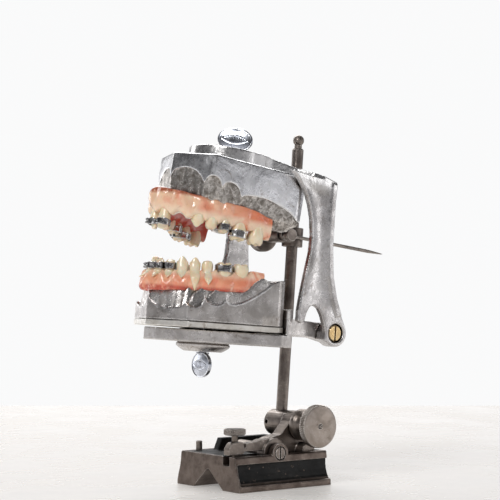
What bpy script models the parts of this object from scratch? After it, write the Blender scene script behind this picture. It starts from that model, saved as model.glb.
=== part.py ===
"""Dental articulator: two hinged jaw frames clamped on the spindle of a small surface gauge.

Lengths in this file are millimetres; add() turns them into metres. The base stands on Z = 0 with
its V-groove along Y. The near side is +X, the front of the jaws is -Y. The spindle leans back a
little, so everything on it is drawn in frames of its own:
  BASE   origin under the middle of the base
  POST   origin on the swivel axis, Z along the spindle
  JAW    origin on the spindle at the lower frame, Z along the spindle
  UPPER  the JAW coordinates with the upper frame shut parallel, swung open about the hinge
"""
import math

import bmesh
import bpy
from mathutils import Matrix, Vector

MM = 0.001
GAP = 0.3

# stand; PLACE is the middle of the base, so that the whole part is centred on the origin
PLACE = (3.1, -10.3, 0.0)
BASE_LENGTH = 62.6
BASE_HEIGHT = 18.4
FOOT_HALF = 28.0
TOP_HALF = 24.35
RIM = 1.1
VEE_HALF = 13.2
VEE_HEIGHT = 10.6
PIVOT = (0.0, -1.0, 18.8)
PIVOT_BORE_R = 2.6
SWIVEL = (-3.1, 21.4, 32.3)
SPINDLE_LEAN = 4.64
SPINDLE_R = 3.175
BALL_R = 3.1
BALL_HEIGHT = 156.9
ADJUST = (16.1, -25.4)
PIN_X = -20.5
PIN_Y = (-21.9, 22.0)
STUD_R = 2.5
SNUG_HEIGHT = 103.0
SNUG_FRONT = -10.5
SCRIBER_X = 7.2
SCRIBER_DROP = 3.7

# jaws
JAW_HEIGHT = 46.0
HINGE = (0.0, 3.0, 4.6)
OPENING = 7.45
LEG_OUT = 38.6
LEG_IN = 35.4
LUG_IN = 30.8
LUG_R = 7.4
ARM_OUT = 30.5
ARM_IN = 25.0
PLATE_LOW = -5.0
PLATE_TOP = 1.6
LIP_FRONT = -28.3
LIP_BACK = -24.6
LIP_TOP = 15.4
LIP_HALF = 35.0
SCREW_Y = -57.0
YOKE_LOW = 83.1
CAST_FRONT = -95.1
CAST_CANINE = (24.7, -85.7)
CAST_HEEL = (34.4, -33.3)
CAST_BACK = (32.6, -29.0)
LOWER_CAST_LOW = 2.5
LOWER_PLATE_THICK = 3.1
UPPER_CAST_TOP = 82.8

# tooth: (number, x on the arch, crown width, crown depth, crown height, tip height, kind)
LOWER_ARCH = {"front": -91.0, "curve": 0.0525}
LOWER_TEETH = (
    (1, 3.2, 4.9, 5.6, 8.0, 37.3, "incisor"), (2, 8.2, 5.1, 5.8, 8.0, 37.3, "incisor"),
    (3, 12.45, 6.2, 7.0, 9.6, 38.8, "canine"), (4, 16.1, 5.9, 6.8, 8.6, 38.6, "premolar"),
    (5, 19.2, 6.0, 7.2, 8.0, 37.6, "premolar"), (6, 22.9, 8.8, 9.0, 7.0, 37.3, "molar"),
    (7, 26.2, 8.2, 8.8, 6.0, 37.1, "molar"))
UPPER_ARCH = {"front": -97.5, "curve": 0.053}
UPPER_TEETH = (
    (1, 3.95, 6.6, 6.2, 9.0, 40.4, "incisor"), (2, 10.3, 5.6, 5.6, 8.2, 41.5, "incisor"),
    (3, 16.0, 6.9, 7.4, 8.6, 44.6, "canine"), (4, 19.5, 6.3, 7.8, 7.4, 44.4, "premolar"),
    (5, 22.3, 5.8, 8.2, 7.2, 43.6, "premolar"), (6, 25.3, 8.8, 9.6, 7.4, 41.3, "molar"),
    (7, 28.4, 8.4, 9.4, 7.2, 40.9, "molar"))
LOWER_REACH = 30.0
UPPER_REACH = 30.4
ARCH_BEND = 27.0
ARCH_END_TURN = 78.0
ARCH_END_STRETCH = 3.6
TOOTH_SIDES = 10
ROOT_DEPTH = 5.0
BANDED = {"11", "21", "25", "26", "31", "32", "36"}

# how much of the width and depth the biting edge keeps, and how deep its middle dips
EDGES = {"incisor": (0.84, 0.26), "canine": (0.34, 0.34), "premolar": (0.74, 0.78),
         "molar": (0.84, 0.84)}
DIPS = {"incisor": 0.0, "canine": -0.9, "premolar": 1.1, "molar": 1.3}

FINISHES = {
    "aluminium": ((0.55, 0.54, 0.53), 0.38, 1.0),
    "old_steel": ((0.20, 0.17, 0.15), 0.42, 1.0),
    "chrome": ((0.75, 0.75, 0.76), 0.12, 1.0),
    "brass": ((0.62, 0.43, 0.17), 0.32, 1.0),
    "gum": ((0.80, 0.33, 0.26), 0.30, 0.0),
    "tooth": ((0.84, 0.72, 0.52), 0.28, 0.0),
}


# ---------------------------------------------------------------- scene set-up

for leftover in list(bpy.data.objects):
    bpy.data.objects.remove(leftover, do_unlink=True)

PARTS = bpy.data.collections.new("dental_articulator")
GUIDES = bpy.data.collections.new("cutters")
bpy.context.scene.collection.children.link(PARTS)
bpy.context.scene.collection.children.link(GUIDES)


class Frame:
    """An empty that pieces hang from, and the coordinates that its own place has in the drawing."""

    def __init__(self, name, parent, at, tilt=0.0, shift=(0.0, 0.0, 0.0)):
        self.empty = bpy.data.objects.new(name, None)
        PARTS.objects.link(self.empty)
        self.shift = Vector(shift)
        self.empty.location = Vector(at) * MM
        self.empty.rotation_euler = (math.radians(tilt), 0.0, 0.0)
        self.empty.parent = parent.empty if parent else None


BASE = Frame("base_axis", None, PLACE)
POST = Frame("spindle_axis", BASE, SWIVEL, -SPINDLE_LEAN)
JAW = Frame("lower_jaw_axis", POST, (0.0, 0.0, JAW_HEIGHT))
UPPER = Frame("jaw_hinge_axis", JAW, HINGE, -OPENING, HINGE)
SCRIBER = Frame("scriber_axis", POST, (0.0, SNUG_FRONT, SNUG_HEIGHT), -SCRIBER_DROP)


def finish_material(name):
    """The Principled material called name, made once."""
    if name in bpy.data.materials:
        return bpy.data.materials[name]
    colour, roughness, metallic = FINISHES[name]
    made = bpy.data.materials.new(name)
    made.use_nodes = True
    shader = made.node_tree.nodes["Principled BSDF"]
    shader.inputs["Base Color"].default_value = (*colour, 1.0)
    shader.inputs["Roughness"].default_value = roughness
    shader.inputs["Metallic"].default_value = metallic
    made.diffuse_color = (*colour, 1.0)
    return made


def add(name, bm, finish, frame=BASE, origin=None):
    """Make an object in metres from a bmesh drawn in frame's millimetres, its origin at origin."""
    origin = Vector(frame.shift if origin is None else origin)
    bmesh.ops.translate(bm, vec=-origin, verts=bm.verts)
    bmesh.ops.scale(bm, vec=(MM, MM, MM), verts=bm.verts)
    mesh = bpy.data.meshes.new(name)
    bm.to_mesh(mesh)
    bm.free()
    made = bpy.data.objects.new(name, mesh)
    made.parent = frame.empty
    made.location = (origin - frame.shift) * MM
    if finish:
        PARTS.objects.link(made)
        mesh.materials.append(finish_material(finish))
        mesh.shade_smooth()
        mesh.set_sharp_from_angle(angle=math.radians(35.0))
    else:
        GUIDES.objects.link(made)
        made.display_type = "WIRE"
        made.hide_render = True
    return made


def combine(target, operation, *bms, frame=BASE):
    """Cut (DIFFERENCE) or join (UNION) each bmesh from or to the target with a Boolean."""
    for bm in bms:
        tool = add(f"{target.name}_{operation.lower()}_{len(target.modifiers)}", bm, None, frame)
        boolean = target.modifiers.new("boolean", "BOOLEAN")
        boolean.operation = operation
        boolean.solver = "EXACT"
        boolean.object = tool
    return target


def soften(target, width, segments=2, angle=40.0):
    """Round the target's edges."""
    bevel = target.modifiers.new("bevel", "BEVEL")
    bevel.width = width * MM
    bevel.segments = segments
    bevel.limit_method = "ANGLE"
    bevel.angle_limit = math.radians(angle)
    bevel.harden_normals = False
    return target


# ---------------------------------------------------------------- basic solids

TURN = {
    "X": Matrix(((0, 0, 1), (0, 1, 0), (-1, 0, 0))).to_4x4(),
    "Y": Matrix(((1, 0, 0), (0, 0, 1), (0, -1, 0))).to_4x4(),
    "Z": Matrix.Identity(4),
}


def box(low, high):
    """A box between two corners."""
    bm = bmesh.new()
    bmesh.ops.create_cube(bm, size=1.0)
    low, high = Vector(low), Vector(high)
    bmesh.ops.scale(bm, vec=high - low, verts=bm.verts)
    bmesh.ops.translate(bm, vec=(low + high) / 2, verts=bm.verts)
    return bm


def rod(axis, centre, radius, low, high, end_radius=None, segments=28):
    """A cylinder or cone along axis from low to high; centre gives its other two coordinates."""
    bm = bmesh.new()
    end_radius = radius if end_radius is None else end_radius
    bmesh.ops.create_cone(bm, cap_ends=True, segments=segments, radius1=radius, radius2=end_radius,
                          depth=high - low)
    bmesh.ops.transform(bm, matrix=TURN[axis], verts=bm.verts)
    place = {"X": ((low + high) / 2, *centre), "Y": (centre[0], (low + high) / 2, centre[1]),
             "Z": (*centre, (low + high) / 2)}[axis]
    bmesh.ops.translate(bm, vec=place, verts=bm.verts)
    return bm


def turned(axis, place, profile, steps=32):
    """A solid of revolution: profile is (radius, height) from top to bottom, ends on the axis."""
    mesh = bpy.data.meshes.new("profile")
    points = [(radius, 0.0, height) for radius, height in profile]
    closed = profile[0][0] > 0
    edges = [(i, i + 1) for i in range(len(points) - 1)]
    if closed:
        edges.append((len(points) - 1, 0))
    mesh.from_pydata(points, edges, [])
    holder = bpy.data.objects.new("profile", mesh)
    bpy.context.scene.collection.objects.link(holder)
    screw = holder.modifiers.new("screw", "SCREW")
    screw.steps = screw.render_steps = steps
    screw.use_merge_vertices = True
    screw.merge_threshold = 0.0001
    depsgraph = bpy.context.evaluated_depsgraph_get()
    bm = bmesh.new()
    bm.from_mesh(holder.evaluated_get(depsgraph).to_mesh())
    bpy.data.objects.remove(holder, do_unlink=True)
    bmesh.ops.remove_doubles(bm, verts=bm.verts, dist=0.0001)
    bmesh.ops.transform(bm, matrix=TURN[axis], verts=bm.verts)
    bmesh.ops.translate(bm, vec=place, verts=bm.verts)
    return bm


def rounded(corners, arc_steps=5):
    """An outline with arcs at its corners: each corner is (u, v) or (u, v, radius)."""
    points = []
    count = len(corners)
    for index, corner in enumerate(corners):
        here = Vector(corner[:2])
        radius = corner[2] if len(corner) > 2 else 0.0
        if not radius:
            points.append(tuple(here))
            continue
        before = (Vector(corners[index - 1][:2]) - here).normalized()
        after = (Vector(corners[(index + 1) % count][:2]) - here).normalized()
        half = before.angle(after) / 2
        reach = radius / math.tan(half)
        start, stop = here + before * reach, here + after * reach
        centre = here + (before + after).normalized() * radius / math.sin(half)
        for step in range(arc_steps + 1):
            blend = start.lerp(stop, step / arc_steps) - centre
            points.append(tuple(centre + blend.normalized() * radius))
    return points


def plate(axis, outline, low, high):
    """A flat plate: outline gives the two coordinates other than axis, in X, Y, Z order."""
    curve = bpy.data.curves.new("outline", "CURVE")
    curve.dimensions = "2D"
    curve.fill_mode = "BOTH"
    curve.extrude = (high - low) / 2
    spline = curve.splines.new("POLY")
    spline.points.add(len(outline) - 1)
    for point, (u, v) in zip(spline.points, outline):
        point.co = (u, v, 0.0, 1.0)
    spline.use_cyclic_u = True
    holder = bpy.data.objects.new("outline", curve)
    bpy.context.scene.collection.objects.link(holder)
    depsgraph = bpy.context.evaluated_depsgraph_get()
    bm = bmesh.new()
    bm.from_mesh(bpy.data.meshes.new_from_object(holder.evaluated_get(depsgraph)))
    bpy.data.objects.remove(holder, do_unlink=True)
    bmesh.ops.remove_doubles(bm, verts=bm.verts, dist=0.0001)
    middle = (low + high) / 2
    for vert in bm.verts:
        u, v, depth = vert.co
        vert.co = {"X": (depth + middle, u, v), "Y": (u, depth + middle, v),
                   "Z": (u, v, depth + middle)}[axis]
    bm.normal_update()
    bmesh.ops.recalc_face_normals(bm, faces=bm.faces)
    return bm


def loft(rings, peak=None):
    """A solid through rings of equally many points, closed by flat ends or, at the last, a peak."""
    bm = bmesh.new()
    rows = [[bm.verts.new(point) for point in ring] for ring in rings]
    count = len(rows[0])
    for lower, upper in zip(rows, rows[1:]):
        for i in range(count):
            j = (i + 1) % count
            bm.faces.new((lower[i], lower[j], upper[j], upper[i]))
    bm.faces.new(list(reversed(rows[0])))
    if peak:
        tip = bm.verts.new(peak)
        for i in range(count):
            bm.faces.new((rows[-1][i], rows[-1][(i + 1) % count], tip))
    else:
        bm.faces.new(rows[-1])
    bm.normal_update()
    bmesh.ops.recalc_face_normals(bm, faces=bm.faces)
    return bm


def mirrored(bm):
    """A copy of bm on the other side of X = 0."""
    copy = bm.copy()
    bmesh.ops.scale(copy, vec=(-1, 1, 1), verts=copy.verts)
    copy.normal_update()
    bmesh.ops.recalc_face_normals(copy, faces=copy.faces)
    return copy


def scoop(centre, radii, turn):
    """An oval bar across a wall that runs at an angle in degrees about Z."""
    bm = rod("Y", (0, 0), 1.0, -radii[1], radii[1], segments=18)
    bmesh.ops.scale(bm, vec=(radii[0], 1.0, radii[2]), verts=bm.verts)
    bmesh.ops.rotate(bm, cent=(0, 0, 0), matrix=Matrix.Rotation(math.radians(turn), 3, "Z"),
                     verts=bm.verts)
    bmesh.ops.translate(bm, vec=centre, verts=bm.verts)
    return bm


# ---------------------------------------------------------------- the stand

def make_base():
    """The base: flared section along Y, panels, V-groove, pockets, ear, cheek and bores."""
    half = BASE_LENGTH / 2
    side = [(FOOT_HALF, 0.0), (FOOT_HALF, 2.2), (27.1, 5.5), (25.5, 10.0), (24.7, 14.0),
            (TOP_HALF, 17.6), (TOP_HALF - 0.8, BASE_HEIGHT)]
    section = side + [(-x, z) for x, z in reversed(side)]
    base = add("gauge_base", plate("Y", section, -half, half), "old_steel")
    ear = rod("X", PIVOT[1:], 5.3, 20.9, 24.5)
    cheek = plate("X", [(-16.0, 17.0), (-12.5, 24.9), (20.0, 24.9), (20.0, 17.0)], -16.5, -12.1)
    combine(base, "UNION", ear, cheek)
    panel = plate("Y", [(32.0, 3.2), (26.4, 3.4), (24.9, 5.6), (23.9, 8.6), (23.4, 11.6), (23.3, 14.2),
                        (32.0, 14.8)], -half + RIM, half + 1.0)
    groove = plate("Y", [(-VEE_HALF - 1.0, -0.8), (VEE_HALF + 1.0, -0.8), (0.9, VEE_HEIGHT - 0.2),
                         (-0.9, VEE_HEIGHT - 0.2)], -half - 1, half + 1)
    combine(base, "DIFFERENCE", mirrored(panel), panel, groove,
            box((-11.8, -8.2, 12.4), (20.6, 28.6, 30.0)),
            box((13.3, -half - 1, 13.5), (19.0, -6.0, 30.0)),
            rod("X", PIVOT[1:], 8.2, 13.2, 20.6),
            rod("X", PIVOT[1:], PIVOT_BORE_R, -18.0, 25.5),
            rod("X", PIVOT[1:], 3.74, 22.9, 26.0))
    for y in PIN_Y:
        combine(base, "DIFFERENCE", rod("Z", (PIN_X, y), 2.05, -1.0, 20.0, segments=24))
    return base


def make_pivot_screw():
    """The slotted screw that the rocker turns on, through the ear, the barrel and the cheek."""
    profile = [(0.0, 24.45), (3.1, 24.45), (3.35, 24.1), (3.35, 23.2), (2.2, 23.2), (2.2, -15.8),
               (1.7, -16.3), (0.0, -16.3)]
    screw = add("pivot_screw", turned("X", (0.0, *PIVOT[1:]), profile), "old_steel", origin=PIVOT)
    slot = box((23.7, PIVOT[1] - 0.5, PIVOT[2] - 4), (25.0, PIVOT[1] + 0.5, PIVOT[2] + 4))
    combine(screw, "DIFFERENCE", slot)


def make_rocker():
    """The rocker: lever, pivot barrel and hump, heel, web and the round jaw that holds the head."""
    swivel = SWIVEL[1:]
    lever = plate("X", rounded([(-31.0, 19.0), (-21.6, 19.0, 0.6), (-20.6, 20.4, 0.6), (-4.0, 20.4),
                                (-2.0, 26.2), (-9.0, 26.4, 4.0), (-13.0, 25.2, 4.0),
                                (-19.4, 24.8), (-19.8, 22.4), (-21.0, 22.4), (-21.6, 25.7, 0.5),
                                (-28.4, 25.7, 2.4), (-31.0, 22.4, 2.0)], 3), 13.7, 18.5)
    rocker = add("rocker_bracket", lever, "old_steel", origin=PIVOT)
    arm = plate("X", [(-6.2, 23.8), (-5.4, 14.8), (-1.0, 12.9), (6.0, 16.5), (22.0, 14.6),
                      (26.2, 18.0), (28.4, 30.0), (21.4, 36.0), (14.3, 34.2), (8.0, 27.6),
                      (1.0, 26.3)], 6.0, 13.65)
    combine(rocker, "UNION",
            rod("X", PIVOT[1:], 4.9, -11.4, 20.2), rod("X", PIVOT[1:], 7.7, 13.5, 20.1),
            arm, rod("X", swivel, 7.3, 5.97, 13.7),
            rod("X", (22.0, 18.5), 4.2, -8.0, 20.2), box((-7.6, 0.0, 19.2), (8.0, 22.0, 22.4)))
    combine(rocker, "DIFFERENCE",
            rod("X", PIVOT[1:], PIVOT_BORE_R, -13.0, 21.0),
            rod("X", swivel, STUD_R + GAP, 4.0, 15.0, segments=24),
            rod("Z", ADJUST, 1.95, 15.0, 28.0, segments=16))


def make_fine_adjust():
    """The knurled screw that tilts the rocker: it stands on the floor of the lever slot."""
    place = (*ADJUST, 0.0)
    profile = [(0.0, 32.7), (5.4, 32.7), (5.95, 32.2), (5.95, 29.8), (5.4, 29.3), (1.9, 29.2),
               (1.6, 28.6), (1.6, 14.4), (1.0, 13.8), (0.0, 13.8)]
    add("fine_adjust_screw", turned("Z", place, profile, 24), "old_steel", origin=place)


def make_spring():
    """The compression spring between the base and the rocker's web."""
    turns, radius, wire, low, high = 3.5, 2.6, 0.4, 13.2, 18.4
    count = int(turns * 12)
    curve = bpy.data.curves.new("coil", "CURVE")
    curve.dimensions = "3D"
    curve.bevel_depth = wire * MM
    curve.bevel_resolution = 1
    curve.use_fill_caps = True
    spline = curve.splines.new("POLY")
    spline.points.add(count)
    for i, point in enumerate(spline.points):
        angle = 2 * math.pi * i / 12
        height = low + (high - low) * i / count
        point.co = (*(Vector((radius * math.cos(angle), radius * math.sin(angle), height)) * MM), 1.0)
    spring = bpy.data.objects.new("rocker_spring", curve)
    PARTS.objects.link(spring)
    spring.parent = BASE.empty
    spring.location = Vector((0.0, 11.0, 0.0)) * MM
    curve.materials.append(finish_material("old_steel"))


def make_swivel_head():
    """The head that holds the spindle, with its cross hole, sight hole and long stud."""
    profile = [(0.0, 35.3), (0.7, 35.1), (1.15, 34.5), (1.15, 30.7), (STUD_R, 30.7), (STUD_R, 8.8),
               (6.6, 8.8), (7.1, 8.3), (7.1, -6.1), (6.6, -6.6), (0.0, -6.6)]
    head = add("swivel_head", turned("X", (0, 0, 0), profile), "old_steel", POST)
    combine(head, "DIFFERENCE",
            rod("Z", (0, 0), SPINDLE_R + GAP, -6.0, 10.0, segments=24),
            rod("Y", (-4.2, 0.0), 1.3, -9.0, -4.5, segments=16), frame=POST)


def make_clamp_nut():
    """The big nut on the stud: a waisted hub and a knurled disc."""
    bore = STUD_R + GAP
    profile = [(bore, 31.1), (1.45, 31.1), (1.45, 34.1), (11.3, 34.1), (11.75, 33.6), (11.75, 30.0),
               (11.3, 29.5), (8.2, 29.5), (6.9, 26.0), (6.9, 23.0), (8.5, 20.0), (8.5, 17.6),
               (8.0, 17.1), (bore, 17.1)]
    add("clamp_nut", turned("X", (0, 0, 0), profile, 40), "old_steel", POST)


def make_spindle():
    """The spindle: a plain rod with a chamfered shoulder, a neck and a ball."""
    shoulder = BALL_HEIGHT - 4.6
    ball = []
    for step in range(9):
        angle = math.radians(18.0 * step)
        ball.append((BALL_R * math.sin(angle), BALL_HEIGHT + BALL_R * math.cos(angle)))
    profile = ball + [(2.1, BALL_HEIGHT - 2.5), (2.1, shoulder), (SPINDLE_R - 0.5, shoulder),
                      (SPINDLE_R, shoulder - 0.7), (SPINDLE_R, -5.2), (SPINDLE_R - 0.5, -5.7),
                      (0.0, -5.7)]
    add("spindle", turned("Z", (0, 0, 0), profile, 24), "old_steel", POST)


def make_gauge_pins():
    """Two guide pins standing in drilled holes of the base."""
    profile = [(0.0, 23.4), (1.4, 23.4), (1.72, 23.1), (1.72, 0.7), (1.4, 0.4), (0.0, 0.4)]
    for name, y in zip(("gauge_pin_front", "gauge_pin_rear"), PIN_Y):
        place = (PIN_X, y, 0.0)
        add(name, turned("Z", place, profile, 20), "old_steel", origin=place)


def make_snug():
    """The scriber clamp: a collar with a lug, a cross bolt with a round head, and a knurled nut."""
    axis = (SNUG_FRONT, SNUG_HEIGHT)
    body = add("snug_body", rod("Z", (0, 0), 5.8, 97.4, 108.0), "old_steel", POST)
    combine(body, "UNION", rod("X", axis, 4.1, -10.6, 4.2),
            box((-4.0, SNUG_FRONT, 99.6), (4.0, -1.0, 106.4)), frame=POST)
    combine(body, "DIFFERENCE", rod("Z", (0, 0), SPINDLE_R + GAP, 90.0, 112.0, segments=24),
            rod("X", axis, 2.3, -12.0, 6.0, segments=20), frame=POST)
    profile = [(0.0, 12.6), (3.2, 12.6), (3.7, 12.1), (3.7, 9.6), (2.9, 9.4), (2.9, 4.6), (2.0, 4.6),
               (2.0, -17.6), (0.0, -17.6)]
    bolt = add("snug_bolt", turned("X", (0, *axis), profile, 24), "old_steel", POST,
               (0.0, SNUG_FRONT, SNUG_HEIGHT))
    eye = rod("Y", (SCRIBER_X, 0.0), 1.3, -6.0, 6.0, segments=16)
    combine(bolt, "DIFFERENCE", eye, frame=SCRIBER)
    ring = [(2.3, -11.0), (8.6, -11.0), (9.1, -11.5), (9.1, -15.7), (8.6, -16.2), (2.3, -16.2)]
    add("snug_nut", turned("X", (0, *axis), ring, 32), "old_steel", POST,
        (0.0, SNUG_FRONT, SNUG_HEIGHT))
    needle = [(0.0, 72.0), (0.35, 70.5), (1.0, 60.0), (1.0, -3.6), (0.8, -4.0), (0.0, -4.0)]
    add("scriber", turned("Y", (SCRIBER_X, 0, 0), needle, 12), "old_steel", SCRIBER)


# ---------------------------------------------------------------- the frames

def make_lower_frame():
    """The lower frame: plate, lip, hinge arms, thumbscrew boss and the clamp round the spindle."""
    outline = rounded([(-5.2, -92.6, 1.0), (5.2, -92.6, 1.0), (LIP_HALF, -32.0, 2.0), (LIP_HALF, -25.0),
                       (-LIP_HALF, -25.0), (-LIP_HALF, -32.0, 2.0)], 4)
    frame = add("lower_frame", plate("Z", outline, PLATE_LOW, PLATE_TOP), "aluminium", JAW)
    lip = box((-LIP_HALF, LIP_FRONT, PLATE_LOW), (LIP_HALF, LIP_BACK, LIP_TOP))
    arm = plate("X", [(-26.0, 1.3), (-26.0, 11.2), (-7.0, 10.0), (2.0, 9.8), (HINGE[1], HINGE[2]),
                      (1.0, -0.4), (-7.0, 1.3)], ARM_IN, ARM_OUT)
    boss = rod("X", HINGE[1:], 5.3, ARM_IN, ARM_OUT - 0.02)
    combine(frame, "UNION", lip, mirrored(arm), arm, mirrored(boss), boss,
            rod("Z", (0, SCREW_Y), 10.2, PLATE_LOW - 4.8, PLATE_LOW + 0.5, 14.0),
            rod("Z", (0, SCREW_Y), 13.0, 0.0, PLATE_TOP + 0.6),
            box((-4.6, -26.0, 2.0), (4.6, -1.0, 10.4)), rod("Z", (0, 0), 6.6, 2.05, 10.45), frame=JAW)
    combine(frame, "DIFFERENCE",
            rod("Z", (0, 0), SPINDLE_R + GAP, -10.0, 20.0, segments=24),
            rod("Y", (0.0, 6.2), 1.9, 1.0, 12.0, segments=16),
            rod("Z", (0, SCREW_Y), 2.4, -20.0, 8.0, segments=24),
            rod("X", HINGE[1:], 2.8, -50.0, 50.0, segments=24), frame=JAW)
    soften(frame, 0.5, 1, 50.0)


def make_set_screw():
    """The slotted screw that locks the lower frame on the spindle."""
    profile = [(0.0, 10.4), (2.6, 10.4), (2.9, 10.1), (2.9, 7.2), (1.6, 7.2), (1.6, 3.6), (0.0, 3.6)]
    screw = add("post_set_screw", turned("Y", (0, 0, 6.2), profile, 20), "old_steel", JAW, (0, 0, 6.2))
    combine(screw, "DIFFERENCE", box((-0.45, 9.6, 0.0), (0.45, 12.0, 12.0)), frame=JAW)


def leg_outline():
    """The side view of one leg: rear edge, lug, arch, foot and front edge."""
    lug = []
    for step in range(9):
        angle = math.radians(35.0 - 155.0 * step / 8)
        lug.append((HINGE[1] + LUG_R * math.cos(angle), HINGE[2] + LUG_R * math.sin(angle)))
    rear = [(-12.6, YOKE_LOW + 1.0), (-11.8, 72.6), (-10.4, 60.0), (-8.5, 48.5), (-5.0, 34.0),
            (0.0, 22.5), (5.0, 14.6)]
    arch = [(-4.0, -0.5), (-4.2, 4.0), (-6.4, 8.4), (-8.6, 12.2), (-11.6, 15.4), (-15.1, 16.6),
            (-17.8, 15.0), (-19.2, 11.5), (-19.9, 7.0)]
    front = [(-21.5, 5.4), (-24.3, 6.2), (-25.0, 12.3), (-24.8, 22.0), (-24.3, 32.0), (-23.4, 43.0),
             (-24.0, 52.0), (-26.0, 61.0), (-29.3, 68.5), (-33.5, 75.2), (-38.5, 79.8),
             (-44.0, YOKE_LOW + 1.0)]
    return rear + lug + arch + front


def make_upper_frame():
    """The upper frame: a round-nosed forked yoke, two legs with ribs, feet and hinge lugs."""
    nose = []
    for step in range(13):
        angle = math.radians(-180.0 + 15.0 * step)
        nose.append((22.0 * math.cos(angle), -59.0 + 22.0 * math.sin(angle)))
    outline = nose + [(23.2, -47.0), (28.6, -34.0), (36.0, -27.0), (LEG_OUT, -22.0), (LEG_OUT, -12.6),
                      (30.0, -12.6), (24.5, -21.0), (14.0, -32.0), (5.0, -36.5),
                      (-5.0, -36.5), (-14.0, -32.0), (-24.5, -21.0), (-30.0, -12.6),
                      (-LEG_OUT, -12.6), (-LEG_OUT, -22.0), (-36.0, -27.0), (-28.6, -34.0),
                      (-23.2, -47.0)]
    yoke = plate("Z", outline, YOKE_LOW, 90.4)
    frame = add("upper_frame", yoke, "aluminium", UPPER)
    slope = plate("X", [(-53.0, 90.6), (-8.0, 83.6), (-8.0, 100.0), (-53.0, 100.0)], -50.0, 50.0)
    combine(frame, "DIFFERENCE", slope, frame=UPPER)
    leg = plate("X", leg_outline(), LEG_IN, LEG_OUT)
    rib = plate("X", [(-12.7, YOKE_LOW), (-12.0, 72.6), (-8.7, 48.5), (-5.2, 34.0), (-0.2, 22.5),
                      (4.6, 14.8), (1.0, 13.4), (-3.4, 21.0), (-8.4, 33.0), (-12.0, 48.0),
                      (-15.2, 72.0), (-16.0, YOKE_LOW)], LEG_OUT - 1.0, LEG_OUT + 0.6)
    lug = plate("X", leg_outline()[6:18] + [(-2.0, 10.5), (1.0, 12.5)], LUG_IN, LEG_OUT - 0.03)
    combine(frame, "UNION", mirrored(leg), leg, mirrored(rib), rib, mirrored(lug), lug,
            rod("Z", (0, SCREW_Y), 8.5, 89.0, 91.6, 7.5), frame=UPPER)
    shoulder = rod("X", HINGE[1:], 5.15, 35.0, 42.0)
    combine(frame, "DIFFERENCE", rod("X", HINGE[1:], 2.8, -50.0, 50.0, segments=24),
            mirrored(shoulder), shoulder, rod("Z", (0, SCREW_Y), 2.4, 80.0, 96.0, segments=24),
            frame=UPPER)
    soften(frame, 0.5, 1, 50.0)


def make_hinge_screws():
    """The slotted brass hinge screws, which stay with the lower frame."""
    profile = [(0.0, 38.0), (3.9, 38.0), (4.35, 37.5), (4.35, 35.4), (2.45, 35.4), (2.45, 26.0),
               (2.0, 25.5), (0.0, 25.5)]
    slot = box((37.0, HINGE[1] - 0.55, HINGE[2] - 6.0), (39.0, HINGE[1] + 0.55, HINGE[2] + 6.0))
    for name, side in (("hinge_screw_near", 1), ("hinge_screw_far", -1)):
        shape = turned("X", (0.0, *HINGE[1:]), profile, 24)
        cutter = slot.copy()
        if side < 0:
            shape, cutter = mirrored(shape), mirrored(cutter)
        combine(add(name, shape, "brass", JAW, HINGE), "DIFFERENCE", cutter, frame=JAW)
    slot.free()


def make_thumbscrew(name, frame, seat, centre, upward, turn):
    """A thumbscrew: an oval paddle on a collar and a stem that reaches into the cast."""
    place = (0.0, SCREW_Y, 0.0)
    paddle = []
    for step in range(28):
        angle = 2 * math.pi * step / 28
        paddle.append((9.8 * math.cos(angle), centre + 6.8 * math.sin(angle)))
    bm = plate("Y", paddle, -1.4, 1.4)
    bmesh.ops.rotate(bm, cent=(0, 0, 0), matrix=Matrix.Rotation(math.radians(turn), 3, "Z"),
                     verts=bm.verts)
    bmesh.ops.translate(bm, vec=place, verts=bm.verts)
    screw = add(name, bm, "chrome", frame, place)
    soften(screw, 0.7, 1, 40.0)
    edge = seat + upward * 0.3
    stem_end = seat - upward * 15.5
    low, high = sorted((stem_end, centre))
    collar_low, collar_high = sorted((edge, centre - upward * 5.0))
    combine(screw, "UNION", rod("Z", (0, SCREW_Y), 2.0, low, high, segments=20),
            rod("Z", (0, SCREW_Y), 3.6, collar_low, collar_high, segments=20), frame=frame)


# ---------------------------------------------------------------- casts, gums and teeth

def cast_outline(grow=0.0):
    """The plan of a cast: pointed front, two canine corners and cut heels."""
    half = [(CAST_CANINE[0] + grow, CAST_CANINE[1]), (CAST_HEEL[0] + grow, CAST_HEEL[1]),
            (CAST_BACK[0] + grow, CAST_BACK[1])]
    return [(0.0, CAST_FRONT - grow)] + half + [(-x, y) for x, y in reversed(half)]


def arch_point(arch, x, offset=0.0):
    """The point of an arch at x, moved out along its normal, and the normal's angle in degrees.

    Past ARCH_BEND the arch runs straight back, and x counts its length.
    """
    bend = min(abs(x), ARCH_BEND)
    past = abs(x) - bend
    side = math.copysign(1.0, x)
    angle = math.atan(2 * arch["curve"] * bend) if past <= 0.0 else math.radians(ARCH_END_TURN)
    px = bend + past * ARCH_END_STRETCH * math.cos(angle) + math.sin(angle) * offset
    py = (arch["front"] + arch["curve"] * bend * bend + past * ARCH_END_STRETCH * math.sin(angle)
          - math.cos(angle) * offset)
    return side * px, py, side * math.degrees(angle)


def ease(value, low, high=1.0):
    """0 below low, 1 above high, smooth between."""
    t = min(max((value - low) / (high - low), 0.0), 1.0)
    return t * t * (3.0 - 2.0 * t)


def ridge(arch, reach, section, stations=18):
    """A ridge along an arch: section(t) gives (offset, z) points, t from 0 in front to 1 behind."""
    rings = []
    for i in range(stations + 1):
        x = reach * math.sin(math.pi / 2 * (2 * i / stations - 1))
        t = abs(x) / reach
        ring = []
        for offset, z in section(t):
            px, py, _ = arch_point(arch, x, offset)
            ring.append((px, py, z))
        rings.append(ring)
    return loft(rings)


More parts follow.
